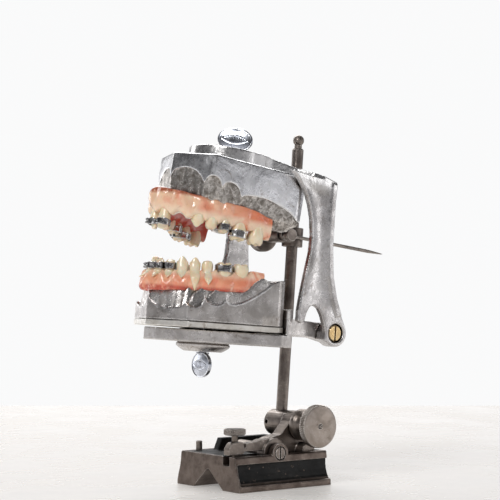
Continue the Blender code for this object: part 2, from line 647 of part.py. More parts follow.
def scallops(front, spots, height):
    """Scoops along the front and side walls of a cast: (place on the wall, half width, z)."""
    tools = []
    canine, heel = Vector(CAST_CANINE), Vector(CAST_HEEL)
    nose = Vector((0.0, CAST_FRONT))
    front_turn = math.degrees(math.atan2(canine.y - nose.y, canine.x))
    side_turn = math.degrees(math.atan2(heel.y - canine.y, heel.x - canine.x))
    places = [(nose.lerp(canine, front[0]), front[1], front[2], front_turn)]
    places += [(canine.lerp(heel, part), width, z, side_turn) for part, width, z in spots]
    for spot, width, z, turn in places:
        tool = scoop((spot.x, spot.y, z), (width, 4.0, height), turn)
        tools += [tool, mirrored(tool)]
    return tools


def lower_seat(t):
    """Height of the lower gum's underside, t from 0 in front to 1 behind."""
    return 21.0 + 2.6 * t + 7.4 * ease(t, 0.88)


def upper_seat(t):
    """Height of the upper gum's top side."""
    return 62.0 - 4.2 * t - 2.2 * ease(t, 0.88)


def make_lower_cast():
    """The lower metal cast: a scalloped block, high behind, with a ridge, over a flat plate."""
    plate_top = LOWER_CAST_LOW + LOWER_PLATE_THICK
    base = add("lower_cast_plate", plate("Z", cast_outline(0.2), LOWER_CAST_LOW, plate_top),
               "aluminium", JAW)
    combine(base, "DIFFERENCE", rod("Z", (0, SCREW_Y), 2.4, 0.0, 8.0, segments=24), frame=JAW)
    soften(base, 0.4, 1, 50.0)
    cast = add("lower_cast", plate("Z", cast_outline(), plate_top + GAP, 31.0), "aluminium", JAW)
    top = plate("X", [(-100.0, 19.6), (-94.0, 19.4), (-90.0, 17.0), (-70.0, 18.2), (-53.4, 19.0),
                      (-43.4, 24.6), (-36.7, 29.3), (-28.0, 30.3), (-28.0, 40.0), (-100.0, 40.0)],
                -40.0, 40.0)
    channel = ridge(LOWER_ARCH, LOWER_REACH + 0.6, lambda t: [
        (7.2 - 4.4 * ease(t, 0.8), 45.0),
        (7.2 - 4.4 * ease(t, 0.8), lower_seat(t) - 1.4 - 0.8 * ease(t, 0.1, 0.4)),
        (-8.0 + 4.0 * ease(t, 0.8), lower_seat(t) - 2.2), (-8.0 + 4.0 * ease(t, 0.8), 45.0)])
    hollow = plate("Y", [(-23.0, 60.0), (-21.0, 19.4), (21.0, 19.4), (23.0, 60.0)], -75.0, -34.0)
    combine(cast, "DIFFERENCE", top, frame=JAW)
    combine(cast, "DIFFERENCE", hollow, channel, frame=JAW)
    combine(cast, "DIFFERENCE", *scallops(
        (0.45, 11.2, 18.3), ((0.08, 4.3, 19.3), (0.27, 5.8, 21.0), (0.49, 6.2, 22.2)), 6.0), frame=JAW)
    crest = ridge(LOWER_ARCH, LOWER_REACH, lambda t: [
        (5.4 - 3.6 * ease(t, 0.7), 13.0), (5.4 - 3.6 * ease(t, 0.7), lower_seat(t) - 1.6),
        (4.4 - 3.4 * ease(t, 0.7), lower_seat(t) - 0.4),
        (-5.4 + 3.2 * ease(t, 0.7), lower_seat(t) - 0.4),
        (-6.4 + 3.2 * ease(t, 0.7), lower_seat(t) - 2.0), (-6.4 + 3.2 * ease(t, 0.7), 13.0)])
    combine(cast, "UNION", crest, frame=JAW)
    combine(cast, "DIFFERENCE", rod("Z", (0, SCREW_Y), 2.4, 0.0, 14.0, segments=24), frame=JAW)


def make_upper_cast():
    """The upper metal cast: a deeper scalloped block with a ridge below."""
    cast = add("upper_cast", plate("Z", cast_outline(), 57.0, UPPER_CAST_TOP), "aluminium", UPPER)
    low = plate("X", [(-100.0, 69.0), (-86.0, 67.6), (-68.0, 64.0), (-56.0, 62.6), (-40.0, 61.0),
                      (-33.0, 58.4), (-28.0, 58.2), (-28.0, 50.0), (-100.0, 50.0)], -40.0, 40.0)
    channel = ridge(UPPER_ARCH, UPPER_REACH + 0.6, lambda t: [
        (6.6 - 3.8 * ease(t, 0.8), upper_seat(t) + 2.4), (6.6 - 3.8 * ease(t, 0.8), 40.0),
        (-8.6 + 4.0 * ease(t, 0.8), 40.0), (-8.6 + 4.0 * ease(t, 0.8), upper_seat(t) + 2.4)])
    hollow = plate("Y", [(-22.0, 50.0), (-20.4, 66.4), (20.4, 66.4), (22.0, 50.0)], -75.0, -20.0)
    combine(cast, "DIFFERENCE", low, frame=UPPER)
    combine(cast, "DIFFERENCE", hollow, channel, frame=UPPER)
    combine(cast, "DIFFERENCE", *scallops(
        (0.43, 10.4, 68.4), ((0.03, 5.0, 65.0), (0.225, 5.8, 63.6), (0.6, 13.5, 60.0)), 6.0),
        frame=UPPER)
    crest = ridge(UPPER_ARCH, UPPER_REACH, lambda t: [
        (-6.8 + 3.6 * ease(t, 0.7), 74.0), (-6.8 + 3.6 * ease(t, 0.7), upper_seat(t) + 2.0),
        (-5.8 + 3.6 * ease(t, 0.7), upper_seat(t) + 0.4), (1.8, upper_seat(t) + 0.4),
        (2.8, upper_seat(t) + 2.0), (2.8, 74.0)])
    combine(cast, "UNION", crest, frame=UPPER)
    combine(cast, "DIFFERENCE", rod("Z", (0, SCREW_Y), 2.4, 74.0, 90.0, segments=16), frame=UPPER)


def oval(half_width, half_depth):
    """A squarish oval of TOOTH_SIDES points."""
    points = []
    for k in range(TOOTH_SIDES):
        angle = 2 * math.pi * k / TOOTH_SIDES
        across, through = math.cos(angle), math.sin(angle)
        points.append((half_width * math.copysign(abs(across) ** 0.8, across),
                       half_depth * math.copysign(abs(through) ** 0.8, through)))
    return points


def set_on_arch(bm, arch, x):
    """Turn and move a shape drawn at the origin to its place on an arch."""
    px, py, turn = arch_point(arch, x)
    bmesh.ops.rotate(bm, cent=(0, 0, 0), matrix=Matrix.Rotation(math.radians(turn), 3, "Z"),
                     verts=bm.verts)
    bmesh.ops.translate(bm, vec=(px, py, 0.0), verts=bm.verts)
    return bm


def tooth_shape(arch, spec, side, up, grow=0.0):
    """One tooth on its arch; grow makes the slightly larger shape that cuts its socket."""
    _, x, width, depth, height, tip, kind = spec
    across, through = EDGES[kind]
    levels = [(-ROOT_DEPTH, 0.34, 0.40), (-ROOT_DEPTH * 0.5, 0.58, 0.66), (0.0, 0.76, 0.82),
              (height * 0.4, 0.97, 1.0), (height * 0.75, 1.0, 0.5 + through / 2),
              (height, across, through)]
    rings = []
    for z, wide, deep in levels:
        ring = []
        for u, v in oval(width / 2 * wide + grow, depth / 2 * deep + grow):
            rise = z - (grow if z < 0 else 0.0)
            if z == height and kind == "premolar":
                rise -= 0.7 * abs(u) / (width / 2)
            if z == height and kind == "molar":
                rise -= 0.5 * abs(abs(u) / (width / 2) - abs(v) / (depth / 2))
            ring.append(Vector((u, v, tip - up * (height - rise))))
        rings.append(ring)
    peak = Vector((0, 0, tip - up * DIPS[kind]))
    return set_on_arch(loft(rings, peak), arch, x * side)


def band_shape(arch, spec, side, up):
    """A metal band: a ring that stands clear of the tooth's crown."""
    _, x, width, depth, height, tip, _ = spec
    middle = tip - up * height * 0.44
    bm = bmesh.new()
    rows = []
    for wall, z in ((0.14, -1.6), (0.14, 1.6), (0.34, 1.6), (0.34, -1.6)):
        ring = oval(width / 2 + wall, depth / 2 + wall)
        rows.append([bm.verts.new((u, v, middle + z)) for u, v in ring])
    for a, b in zip(rows, rows[1:] + rows[:1]):
        for i in range(TOOTH_SIDES):
            j = (i + 1) % TOOTH_SIDES
            bm.faces.new((a[i], a[j], b[j], b[i]))
    bm.normal_update()
    bmesh.ops.recalc_face_normals(bm, faces=bm.faces)
    return set_on_arch(bm, arch, x * side)


def make_jaw_teeth(arch, specs, frame, up, quadrants, missing, gum):
    """The teeth of one jaw, their sockets in the gum, and the bands round some of them."""
    for side, quadrant in ((1, quadrants[0]), (-1, quadrants[1])):
        for spec in specs:
            label = f"{quadrant}{spec[0]}"
            if label == missing:
                continue
            combine(gum, "DIFFERENCE", tooth_shape(arch, spec, side, up, GAP + 0.05), frame=frame)
            add(f"tooth_{label}", tooth_shape(arch, spec, side, up), "tooth", frame)
            if label in BANDED:
                add(f"band_{label}", band_shape(arch, spec, side, up), "chrome", frame)


def make_gums_and_teeth():
    """Both gums, each with its teeth."""
    lower = add("lower_gum", ridge(LOWER_ARCH, LOWER_REACH, lambda t: [
        (4.8 - 3.0 * ease(t, 0.75), lower_seat(t)),
        (5.6 - 3.4 * ease(t, 0.75), lower_seat(t) + 3.0 - 2.2 * ease(t, 0.8)),
        (4.4 - 2.6 * ease(t, 0.75), 28.2 + 3.0 * t + 1.0 * ease(t, 0.88)),
        (2.6 - 1.4 * ease(t, 0.75), 29.6 + 3.0 * t + 0.8 * ease(t, 0.88)),
        (-2.8 + 1.4 * ease(t, 0.75), 29.6 + 3.0 * t + 0.8 * ease(t, 0.88)),
        (-5.0 + 2.8 * ease(t, 0.75), 27.6 + 3.0 * t + 2.0 * ease(t, 0.88)),
        (-5.8 + 3.0 * ease(t, 0.75), lower_seat(t))]), "gum", JAW)
    make_jaw_teeth(LOWER_ARCH, LOWER_TEETH, JAW, 1, (3, 4), None, lower)
    upper = add("upper_gum", ridge(UPPER_ARCH, UPPER_REACH, lambda t: [
        (2.0 - 0.4 * t, upper_seat(t)), (3.6 - 1.0 * ease(t, 0.8), 58.5 - 3.6 * t - ease(t, 0.88)),
        (4.0 - 1.0 * ease(t, 0.8), 54.5 - 3.2 * t - 2.0 * ease(t, 0.88)),
        (3.0 - 0.6 * ease(t, 0.8), 50.4 - 2.4 * t - 2.6 * ease(t, 0.9)),
        (-3.4 + 0.6 * ease(t, 0.8), 50.4 - 2.4 * t - 2.6 * ease(t, 0.9)),
        (-6.2 + 2.6 * ease(t, 0.8), 54.0 - 3.0 * t - ease(t, 0.9)),
        (-6.4 + 2.6 * ease(t, 0.8), upper_seat(t))]), "gum", UPPER)
    make_jaw_teeth(UPPER_ARCH, UPPER_TEETH, UPPER, -1, (2, 1), "22", upper)


make_base()
make_pivot_screw()
make_rocker()
make_fine_adjust()
make_spring()
make_swivel_head()
make_clamp_nut()
make_spindle()
make_gauge_pins()
make_snug()
make_lower_frame()
make_set_screw()
make_upper_frame()
make_hinge_screws()
make_thumbscrew("upper_thumbscrew", UPPER, 91.6, 98.9, 1, 40.0)
make_thumbscrew("lower_thumbscrew", JAW, -9.8, -16.8, -1, -8.0)
make_lower_cast()
make_upper_cast()
make_gums_and_teeth()
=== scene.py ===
"""Looks of the dental articulator: fine surfaces, bands and brackets, materials, light, camera."""
import math

import bmesh
import bpy
from mathutils import Matrix, Vector, noise


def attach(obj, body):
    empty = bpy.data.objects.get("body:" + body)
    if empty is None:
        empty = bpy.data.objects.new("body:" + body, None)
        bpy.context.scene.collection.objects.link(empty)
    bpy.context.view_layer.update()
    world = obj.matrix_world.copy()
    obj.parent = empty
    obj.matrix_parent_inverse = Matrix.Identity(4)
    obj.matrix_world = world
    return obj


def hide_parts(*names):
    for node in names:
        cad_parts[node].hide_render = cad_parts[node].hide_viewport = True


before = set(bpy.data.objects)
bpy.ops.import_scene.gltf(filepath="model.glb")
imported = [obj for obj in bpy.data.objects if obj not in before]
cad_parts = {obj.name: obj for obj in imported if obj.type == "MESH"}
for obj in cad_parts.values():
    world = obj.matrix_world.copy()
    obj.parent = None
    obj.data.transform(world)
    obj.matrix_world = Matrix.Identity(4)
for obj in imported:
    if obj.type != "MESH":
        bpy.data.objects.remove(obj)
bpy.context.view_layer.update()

# ---------------------------------------------------------------- places, in millimetres

MM = 0.001


def turn_x(degrees):
    """A turn about X."""
    return Matrix.Rotation(math.radians(degrees), 4, "X")


HINGE = Vector((0.0, 3.0, 4.6))
BASE = Matrix.Translation((3.1, -10.3, 0.0))
POST = BASE @ Matrix.Translation((-3.1, 21.4, 32.3)) @ turn_x(-4.64)
JAW = POST @ Matrix.Translation((0.0, 0.0, 46.0))
UPPER = JAW @ Matrix.Translation(HINGE) @ turn_x(-7.45) @ Matrix.Translation(-HINGE)
SCREW_Y = -57.0
NOSE = (0.0, -59.0)
NOSE_STEP = 15.0
BOSS_STEP = 360.0 / 28
# metres
FLOOR_END = 0.53
LIT_POINT = (0.0, 0.0, 0.1)
CAMERA_PLACE = (0.7831, -0.6193, 0.1213)
CAMERA_TURN = (math.radians(90.36), 0.0, math.radians(52.14))

# half outline of both casts seen from above, and how finely each side is divided
OUTLINE = ((0.0, -94.9), (0.7, -94.83), (23.7, -86.08), (24.9, -84.5), (34.2, -34.2), (33.9, -32.4),
           (32.6, -29.6), (31.6, -29.0), (0.0, -29.0))
EDGE_STEPS = (3, 52, 4, 108, 4, 5, 3, 20)

# each jaw: its arch (front, curve, reach), its way up, its frame and body, its quadrants, its
# teeth, and plain: where along the cast's wall the pockets end
# tooth: (number, x on the arch, crown width, crown depth, crown height, tip height, kind)
LOWER = {
    "front": -91.0, "curve": 0.0525, "up": 1, "place": JAW, "body": "lower_jaw", "half": (3, 4),
    "reach": 30.0, "plain": (70.0, 79.0),
    "teeth": (
        (1, 3.2, 4.9, 5.6, 8.0, 37.3, "incisor"), (2, 8.2, 5.1, 5.8, 8.0, 37.3, "incisor"),
        (3, 12.45, 6.2, 7.0, 9.6, 38.8, "canine"), (4, 16.1, 5.9, 6.8, 8.6, 38.6, "canine"),
        (5, 19.2, 6.0, 7.2, 8.0, 37.6, "premolar"), (6, 22.9, 8.8, 9.0, 7.0, 37.3, "molar"),
        (7, 26.2, 8.2, 8.8, 6.0, 37.1, "molar")),
}
UPPER_JAW = {
    "front": -97.5, "curve": 0.053, "up": -1, "place": UPPER, "body": "upper_jaw", "half": (2, 1),
    "reach": 30.4, "plain": (86.0, 92.0),
    "teeth": (
        (1, 3.95, 6.6, 6.2, 9.0, 40.4, "incisor"), (2, 10.3, 5.6, 5.6, 8.2, 41.5, "incisor"),
        (3, 16.0, 6.9, 7.4, 8.6, 44.6, "canine"), (4, 19.5, 6.3, 7.8, 7.4, 44.4, "premolar"),
        (5, 22.3, 5.8, 8.2, 7.2, 43.6, "premolar"), (6, 25.3, 8.8, 9.6, 7.4, 41.3, "molar"),
        (7, 28.4, 8.4, 9.4, 7.2, 40.9, "molar")),
}
MISSING = "22"
# past ARCH_BEND the arch turns and runs straight, stretched
ARCH_BEND = 27.0
ARCH_END_TURN = math.radians(78.0)
ARCH_END_STRETCH = 3.6
# length of the bare root below some crowns
ROOTS = {"31": 4.0, "32": 4.0, "33": 4.0, "34": 11.0, "35": 7.0, "41": 4.0, "42": 4.0, "43": 4.0,
         "23": 3.0, "24": 2.0}
BRACKETED = ("11", "21", "31", "32", "41", "42")
BANDED = ("15", "16", "25", "26", "36", "46")

# rim of each cast: stretches of (distance along the wall from the midline, height)
LOWER_RIM = (
    ((0.0, 18.4), (1.4, 16.4), (4.0, 14.0), (8.0, 12.6), (13.0, 12.1), (18.0, 12.5), (22.0, 13.5),
     (23.8, 15.4)),
    ((23.8, 15.4), (25.6, 13.6), (29.8, 12.9), (33.2, 14.8), (34.9, 18.4)),
    ((34.9, 18.4), (36.6, 16.0), (40.9, 14.8), (45.2, 15.9), (47.1, 18.2)),
    ((47.1, 18.2), (49.0, 16.6), (52.5, 16.1), (59.3, 18.3), (69.4, 24.3), (76.2, 29.1),
     (80.0, 30.2), (84.6, 30.2), (116.0, 30.2)))
UPPER_RIM = (
    ((0.0, 68.6), (1.5, 72.2), (4.6, 74.0), (9.2, 74.6), (14.2, 73.8), (18.6, 71.2), (22.2, 67.0)),
    ((22.2, 67.0), (23.6, 69.8), (27.4, 71.2), (31.0, 69.8), (33.0, 66.2)),
    ((33.0, 66.2), (34.4, 68.8), (38.4, 69.8), (42.6, 67.8), (45.0, 63.4)),
    ((45.0, 63.4), (46.6, 64.8), (52.0, 65.7), (59.0, 65.9), (66.7, 64.6), (76.1, 61.4),
     (80.0, 58.6), (84.6, 58.4), (92.0, 59.0), (97.0, 65.0), (116.0, 66.0)))


# ---------------------------------------------------------------- node materials

class Nodes:
    """The nodes of a material or a world, and short ways to add to them."""

    def __init__(self, owner):
        owner.use_nodes = True
        self.nodes = owner.node_tree.nodes
        self.links = owner.node_tree.links

    def put(self, node, socket, value):
        """Set an input to a value, or link an output to it."""
        target = node.inputs[socket]
        if isinstance(value, bpy.types.NodeSocket):
            self.links.new(value, target)
        elif isinstance(value, tuple) and len(value) == 3 and target.type == "RGBA":
            target.default_value = (*value, 1.0)
        else:
            target.default_value = value

    def node(self, kind, inputs, **settings):
        """A new node with its settings and inputs given."""
        made = self.nodes.new("ShaderNode" + kind)
        for name, value in settings.items():
            setattr(made, name, value)
        for socket, value in inputs.items():
            self.put(made, socket, value)
        return made


class Shader(Nodes):
    """A Principled material and the nodes that shape its colour, roughness and relief."""

    def __init__(self, name, roughness=0.4, metallic=0.0, **sockets):
        self.material = bpy.data.materials.new(name)
        super().__init__(self.material)
        self.main = self.nodes["Principled BSDF"]
        self.main.inputs["Roughness"].default_value = roughness
        self.main.inputs["Metallic"].default_value = metallic
        for socket, value in sockets.items():
            self.main.inputs[socket.replace("_", " ")].default_value = value
        self.where = self.nodes.new("ShaderNodeTexCoord").outputs["Object"]

    def noise(self, size_mm, detail=4.0, rough=0.6, stretch=None, distortion=0.0):
        """Noise whose blotches are about size_mm across; stretch is a scale and a turn."""
        where = self.where
        if stretch:
            where = self.node("Mapping", {"Vector": where, "Scale": stretch[0],
                                          "Rotation": stretch[1]}).outputs[0]
        return self.node("TexNoise", {"Vector": where, "Scale": 1000.0 / size_mm, "Detail": detail,
                                      "Roughness": rough, "Distortion": distortion}).outputs["Fac"]

    def spots(self, size_mm):
        """Distance to the nearest of many scattered points."""
        inputs = {"Vector": self.where, "Scale": 1000.0 / size_mm}
        return self.node("TexVoronoi", inputs).outputs["Distance"]

    def ramp(self, value, low, high, start=0.0, stop=1.0):
        """Value between low and high becomes start to stop, smoothly."""
        inputs = {"Value": value, "From Min": low, "From Max": high,
                  "To Min": start, "To Max": stop}
        return self.node("MapRange", inputs, interpolation_type="SMOOTHSTEP").outputs["Result"]

    def mix(self, factor, first, second):
        """A blend of two colours."""
        return self.node("Mix", {0: factor, 6: first, 7: second}, data_type="RGBA").outputs[2]

    def math(self, operation, first, second=0.0):
        """Arithmetic on two values; a difference is kept in 0 to 1."""
        return self.node("Math", {0: first, 1: second}, operation=operation,
                         use_clamp=operation == "SUBTRACT").outputs[0]

    def times(self, *values):
        """The product of several values."""
        whole = values[0]
        for value in values[1:]:
            whole = self.math("MULTIPLY", whole, value)
        return whole

    def axis(self, index):
        """One object coordinate, in metres."""
        return self.node("SeparateXYZ", {0: self.where}).outputs[index]

    def local(self, place, index):
        """A coordinate in the frame of a place, in millimetres."""
        back = (Matrix.Scale(MM, 4) @ place).inverted()
        dot = self.node("VectorMath", {0: self.where, 1: tuple(back[index][:3])},
                        operation="DOT_PRODUCT").outputs["Value"]
        return self.node("Math", {0: dot, 1: back[index][3]}).outputs[0]

    def edges(self, radius_mm):
        """1 on convex and concave edges, from how far rounding would turn the surface."""
        bevel = self.node("Bevel", {"Radius": radius_mm * MM}, samples=4).outputs[0]
        normal = self.node("NewGeometry", {}).outputs["Normal"]
        dot = self.node("VectorMath", {0: bevel, 1: normal}, operation="DOT_PRODUCT")
        return self.ramp(self.math("SUBTRACT", 1.0, dot.outputs["Value"]), 0.004, 0.06)

    def crevices(self, reach_mm, open_level, closed_level, most):
        """Up to most where the surface is closed in within reach_mm."""
        made = self.node("AmbientOcclusion", {"Distance": reach_mm * MM}, samples=6)
        return self.ramp(made.outputs["AO"], open_level, closed_level, 0.0, most)

    def bump(self, height, distance_mm, over=None):
        """A bump of about distance_mm."""
        inputs = {"Strength": 1.0, "Distance": distance_mm * MM, "Height": height}
        if over is not None:
            inputs["Normal"] = over
        return self.node("Bump", inputs).outputs[0]

    def finish(self, colour, roughness=None, normal=None, metallic=None):
        """Link the results to the Principled node."""
        self.put(self.main, "Base Color", colour)
        for socket, value in (("Roughness", roughness), ("Normal", normal), ("Metallic", metallic)):
            if value is not None:
                self.put(self.main, socket, value)
        return self.material


def metal(name, light, dark, stain_and_shade, rough, grain, edge, edge_mm, wave=0.35, crown=None):
    """Worn metal: cloudy patina, stains, fine scratches, pits, dents and bright edges, partly wear
    and partly a painted highlight; grime and painted shade darken its creases.

    crown is a painted highlight: a lighter colour on what stands high on the upper jaw.
    """
    shade = Shader(name, metallic=1.0)
    cloud = shade.noise(18.0, 5.0, 0.62, distortion=0.4)
    fine = shade.noise(1.4, 4.0, 0.7)
    colour = shade.mix(shade.ramp(cloud, 0.36, 0.64), light, dark)
    # painted highlight: the top of the upper jaw's frame turns towards the lighter crown colour
    if crown:
        high = shade.times(shade.ramp(shade.local(UPPER, 2), 74.0, 86.0),
                           shade.ramp(cloud, 0.25, 0.6, 0.55, 1.0))
        colour = shade.mix(high, colour, crown)
    marks = shade.noise(7.0, 7.0, 0.78, distortion=1.0)
    colour = shade.mix(shade.ramp(marks, 0.54, 0.72, 0.0, 0.85), colour, stain_and_shade)
    colour = shade.mix(shade.ramp(fine, 0.60, 0.78, 0.0, 0.55), colour, stain_and_shade)
    lines = shade.noise(1.0, 3.0, 0.6, stretch=((0.05, 1.5, 1.0), (0.5, 0.2, 0.7)))
    cross = shade.noise(1.0, 3.0, 0.6, stretch=((1.2, 0.06, 1.3), (0.9, 0.5, 0.1)))
    scratch = shade.math("MAXIMUM", shade.ramp(lines, 0.62, 0.72), shade.ramp(cross, 0.66, 0.74))
    scratch = shade.times(scratch, shade.ramp(cloud, 0.62, 0.42, 0.0, 0.6))
    colour = shade.mix(scratch, colour, edge)
    # bright edges: partly wear, partly a painted highlight
    edge_wear_and_highlight = shade.times(shade.edges(edge_mm), shade.ramp(shade.noise(4.0), 0.25, 0.6, 0.35, 0.95))
    colour = shade.mix(edge_wear_and_highlight, colour, edge)
    # grime and painted shade: darker, towards the stain colour, where the surface is closed in
    colour = shade.mix(shade.crevices(2.4, 0.75, 0.35, 0.7), colour, stain_and_shade)
    roughness = shade.ramp(shade.noise(6.0, 5.0, 0.7), 0.3, 0.7, *rough)
    normal = shade.bump(shade.mix(0.5, fine, lines), grain, over=shade.bump(cloud, wave))
    return shade.finish(colour, roughness, normal)


# name, light, dark and stain-and-shade colours, roughness range, grain, edge colour (scratches,
# worn edges and painted edge highlight), edge width, dents, crown (a painted highlight)
METAL_LOOKS = {
    # painted reflection: the upper cast's aluminium is given much brighter colours than the lower
    # cast's (low), for the light its walls reflect
    "cast": ("cast_aluminium", (0.88, 0.88, 0.90), (0.56, 0.56, 0.575), (0.25, 0.20, 0.15),
             (0.2, 0.36), 0.05, (0.98, 0.975, 0.97), 1.0, 0.6),
    "low": ("low_cast_aluminium", (0.52, 0.495, 0.48), (0.31, 0.29, 0.275), (0.13, 0.095, 0.07),
            (0.22, 0.38), 0.05, (0.94, 0.93, 0.92), 0.8, 0.55),
    "frame": ("frame_aluminium", (0.58, 0.555, 0.54), (0.38, 0.36, 0.35), (0.15, 0.115, 0.085),
              (0.22, 0.4), 0.07, (0.92, 0.91, 0.90), 1.0, 0.5),
    # the last colour is the crown, a painted highlight on the top of the yoke
    "yoke": ("yoke_aluminium", (0.50, 0.485, 0.48), (0.33, 0.315, 0.31), (0.15, 0.115, 0.085),
             (0.2, 0.36), 0.06, (0.94, 0.93, 0.93), 1.0, 0.55, (0.74, 0.73, 0.725)),
    "plate": ("plate_aluminium", (0.82, 0.80, 0.76), (0.60, 0.57, 0.52), (0.24, 0.17, 0.11),
              (0.3, 0.5), 0.05, (0.95, 0.94, 0.92), 0.5),
    "steel": ("old_steel", (0.25, 0.215, 0.19), (0.12, 0.10, 0.09), (0.05, 0.036, 0.028),
              (0.3, 0.5), 0.06, (0.62, 0.58, 0.54), 0.5),
    "knob": ("knob_steel", (0.40, 0.35, 0.315), (0.26, 0.22, 0.19), (0.11, 0.08, 0.06), (0.32, 0.5),
             0.05, (0.80, 0.77, 0.73), 0.5),
    "brass": ("old_brass", (0.62, 0.45, 0.23), (0.42, 0.28, 0.12), (0.13, 0.08, 0.04), (0.24, 0.42),
              0.03, (0.88, 0.76, 0.52), 0.35),
    "chrome": ("worn_chrome", (0.58, 0.605, 0.66), (0.40, 0.42, 0.47), (0.20, 0.19, 0.19),
               (0.14, 0.26), 0.03, (0.90, 0.90, 0.92), 0.3, 0.12),
    "band": ("band_steel", (0.66, 0.65, 0.64), (0.30, 0.29, 0.29), (0.05, 0.045, 0.04),
             (0.12, 0.32), 0.03, (0.92, 0.92, 0.92), 0.25),
    "bracket": ("bracket_steel", (0.22, 0.21, 0.21), (0.09, 0.085, 0.09), (0.02, 0.02, 0.02),
                (0.18, 0.4), 0.03, (0.78, 0.78, 0.78), 0.2),
}


def make_recess_metal(name, light, dark, shadow):
    """Rough, darker metal between a cast's rim and its gum, with a painted highlight on the bulges
    and painted shade in its hollows and crevices.
    """
    shade = Shader(name, metallic=1.0)
    cloud = shade.noise(3.0, 6.0, 0.75, distortion=0.6)
    fine = shade.noise(0.7, 4.0, 0.7)
    colour = shade.mix(shade.ramp(cloud, 0.34, 0.66), light, dark)
    colour = shade.mix(shade.ramp(fine, 0.52, 0.74, 0.0, 0.6), colour, (0.13, 0.10, 0.075))
    ridge = shade.nodes.new("ShaderNodeNewGeometry").outputs["Pointiness"]
    # painted highlight: lighter where the surface bulges
    colour = shade.mix(shade.ramp(ridge, 0.51, 0.58, 0.0, 0.6), colour, (0.86, 0.85, 0.84))
    # painted shade: darker where the surface is hollow
    colour = shade.mix(shade.ramp(ridge, 0.495, 0.44, 0.0, 0.8), colour, (0.06, 0.048, 0.04))
    # painted shade: darker where the surface is closed in, under the rim
    colour = shade.mix(shade.crevices(5.0, 0.8, 0.3, shadow), colour, (0.05, 0.04, 0.032))
    normal = shade.bump(shade.mix(0.5, cloud, fine), 0.25)
    return shade.finish(colour, shade.ramp(cloud, 0.3, 0.7, 0.18, 0.42), normal)


def painted_iron():
    """Bare iron outside, black chipped paint on the top and the panels of the long sides."""
    shade = Shader("base_iron")
    shade.main.inputs["Specular IOR Level"].default_value = 0.2
    cloud = shade.noise(9.0, 5.0, 0.65, distortion=0.3)
    fine = shade.noise(1.2, 4.0, 0.7)
    bare = shade.mix(shade.ramp(cloud, 0.35, 0.68), (0.18, 0.145, 0.125), (0.095, 0.073, 0.062))
    bare = shade.mix(shade.ramp(fine, 0.55, 0.8, 0.0, 0.6), bare, (0.045, 0.033, 0.027))
    # bright edges: partly wear, partly a painted highlight
    edge_wear_and_highlight = shade.times(shade.edges(0.5), shade.ramp(shade.noise(3.0), 0.3, 0.6, 0.2, 0.9))
    bare = shade.mix(edge_wear_and_highlight, bare, (0.66, 0.63, 0.60))
    x, y, z = (shade.local(BASE, index) for index in range(3))
    across, along_side = shade.math("ABSOLUTE", x), shade.math("ABSOLUTE", y)
    sides = shade.times(shade.ramp(z, 4.1, 4.7), shade.ramp(z, 14.6, 14.1),
                        shade.ramp(y, -30.3, -29.9), shade.ramp(across, 21.2, 21.6))
    top = shade.times(shade.ramp(z, 18.0, 18.2), shade.ramp(z, 26.2, 25.8),
                      shade.ramp(along_side, 30.8, 30.2), shade.ramp(across, 20.6, 20.2))
    panel = shade.math("MAXIMUM", sides, top)
    chips = shade.ramp(shade.noise(3.4, 7.0, 0.72, distortion=0.8), 0.63, 0.66)
    dots = shade.ramp(shade.spots(5.2), 0.10, 0.06)
    chips = shade.math("MAXIMUM", chips, dots)
    paint = shade.times(panel, shade.math("SUBTRACT", 1.0, chips))
    black = shade.mix(shade.ramp(cloud, 0.4, 0.7), (0.003, 0.003, 0.003), (0.012, 0.011, 0.010))
    colour = shade.mix(paint, bare, black)
    rough = shade.ramp(shade.noise(5.0, 5.0, 0.7), 0.3, 0.7, 0.3, 0.52)
    normal = shade.bump(fine, 0.05, over=shade.bump(shade.times(paint, 0.5), 0.12))
    metallic = shade.ramp(paint, 0.2, 0.8, 1.0, 0.0)
    return shade.finish(colour, rough, normal, metallic)


def gum_material(name, pale, red, deep, light_spot, place, up, seat, neck_level):
    """Glossy gum, a little translucent: paler in front, redder behind, dark near its seat.

    seat and neck_level are heights in the jaw's own frame, and up is its way up.
    """
    shade = Shader(name, roughness=0.2, Subsurface_Weight=0.15, Subsurface_Scale=0.0015,
                   Coat_Weight=0.6, Coat_Roughness=0.08)
    shade.main.inputs["Subsurface Radius"].default_value = (1.0, 0.35, 0.2)
    back = shade.ramp(shade.axis(1), -0.062, -0.022)
    cloud = shade.noise(13.0, 3.0, 0.55, distortion=0.8)
    colour = shade.mix(back, pale, red)
    colour = shade.mix(shade.ramp(cloud, 0.46, 0.66, 0.0, 0.75), colour, red)
    level = shade.local(place, 2)
    low = shade.times(shade.ramp(level, seat + 3.2 * up, seat + 1.0 * up),
                      shade.ramp(shade.noise(3.0, 5.0, 0.7), 0.3, 0.5))
    colour = shade.mix(low, colour, deep)
    neck = shade.times(shade.ramp(level, neck_level - 4.0 * up, neck_level, 0.0, 0.85),
                       shade.ramp(cloud, 0.3, 0.52))
    colour = shade.mix(neck, colour, light_spot)
    veins = shade.noise(2.4, 6.0, 0.7, stretch=((1.0, 1.0, 0.35), (0.0, 0.0, 0.0)), distortion=1.6)
    colour = shade.mix(shade.ramp(veins, 0.56, 0.72, 0.0, 0.55), colour, deep)
    pale_spots = shade.noise(6.0, 3.0, 0.55, distortion=0.6)
    colour = shade.mix(shade.ramp(pale_spots, 0.54, 0.78, 0.0, 0.6), colour, light_spot)
    normal = shade.bump(shade.mix(0.5, cloud, shade.noise(2.2, 3.0, 0.55)), 0.45)
    return shade.finish(colour, shade.ramp(cloud, 0.3, 0.7, 0.14, 0.34), normal)


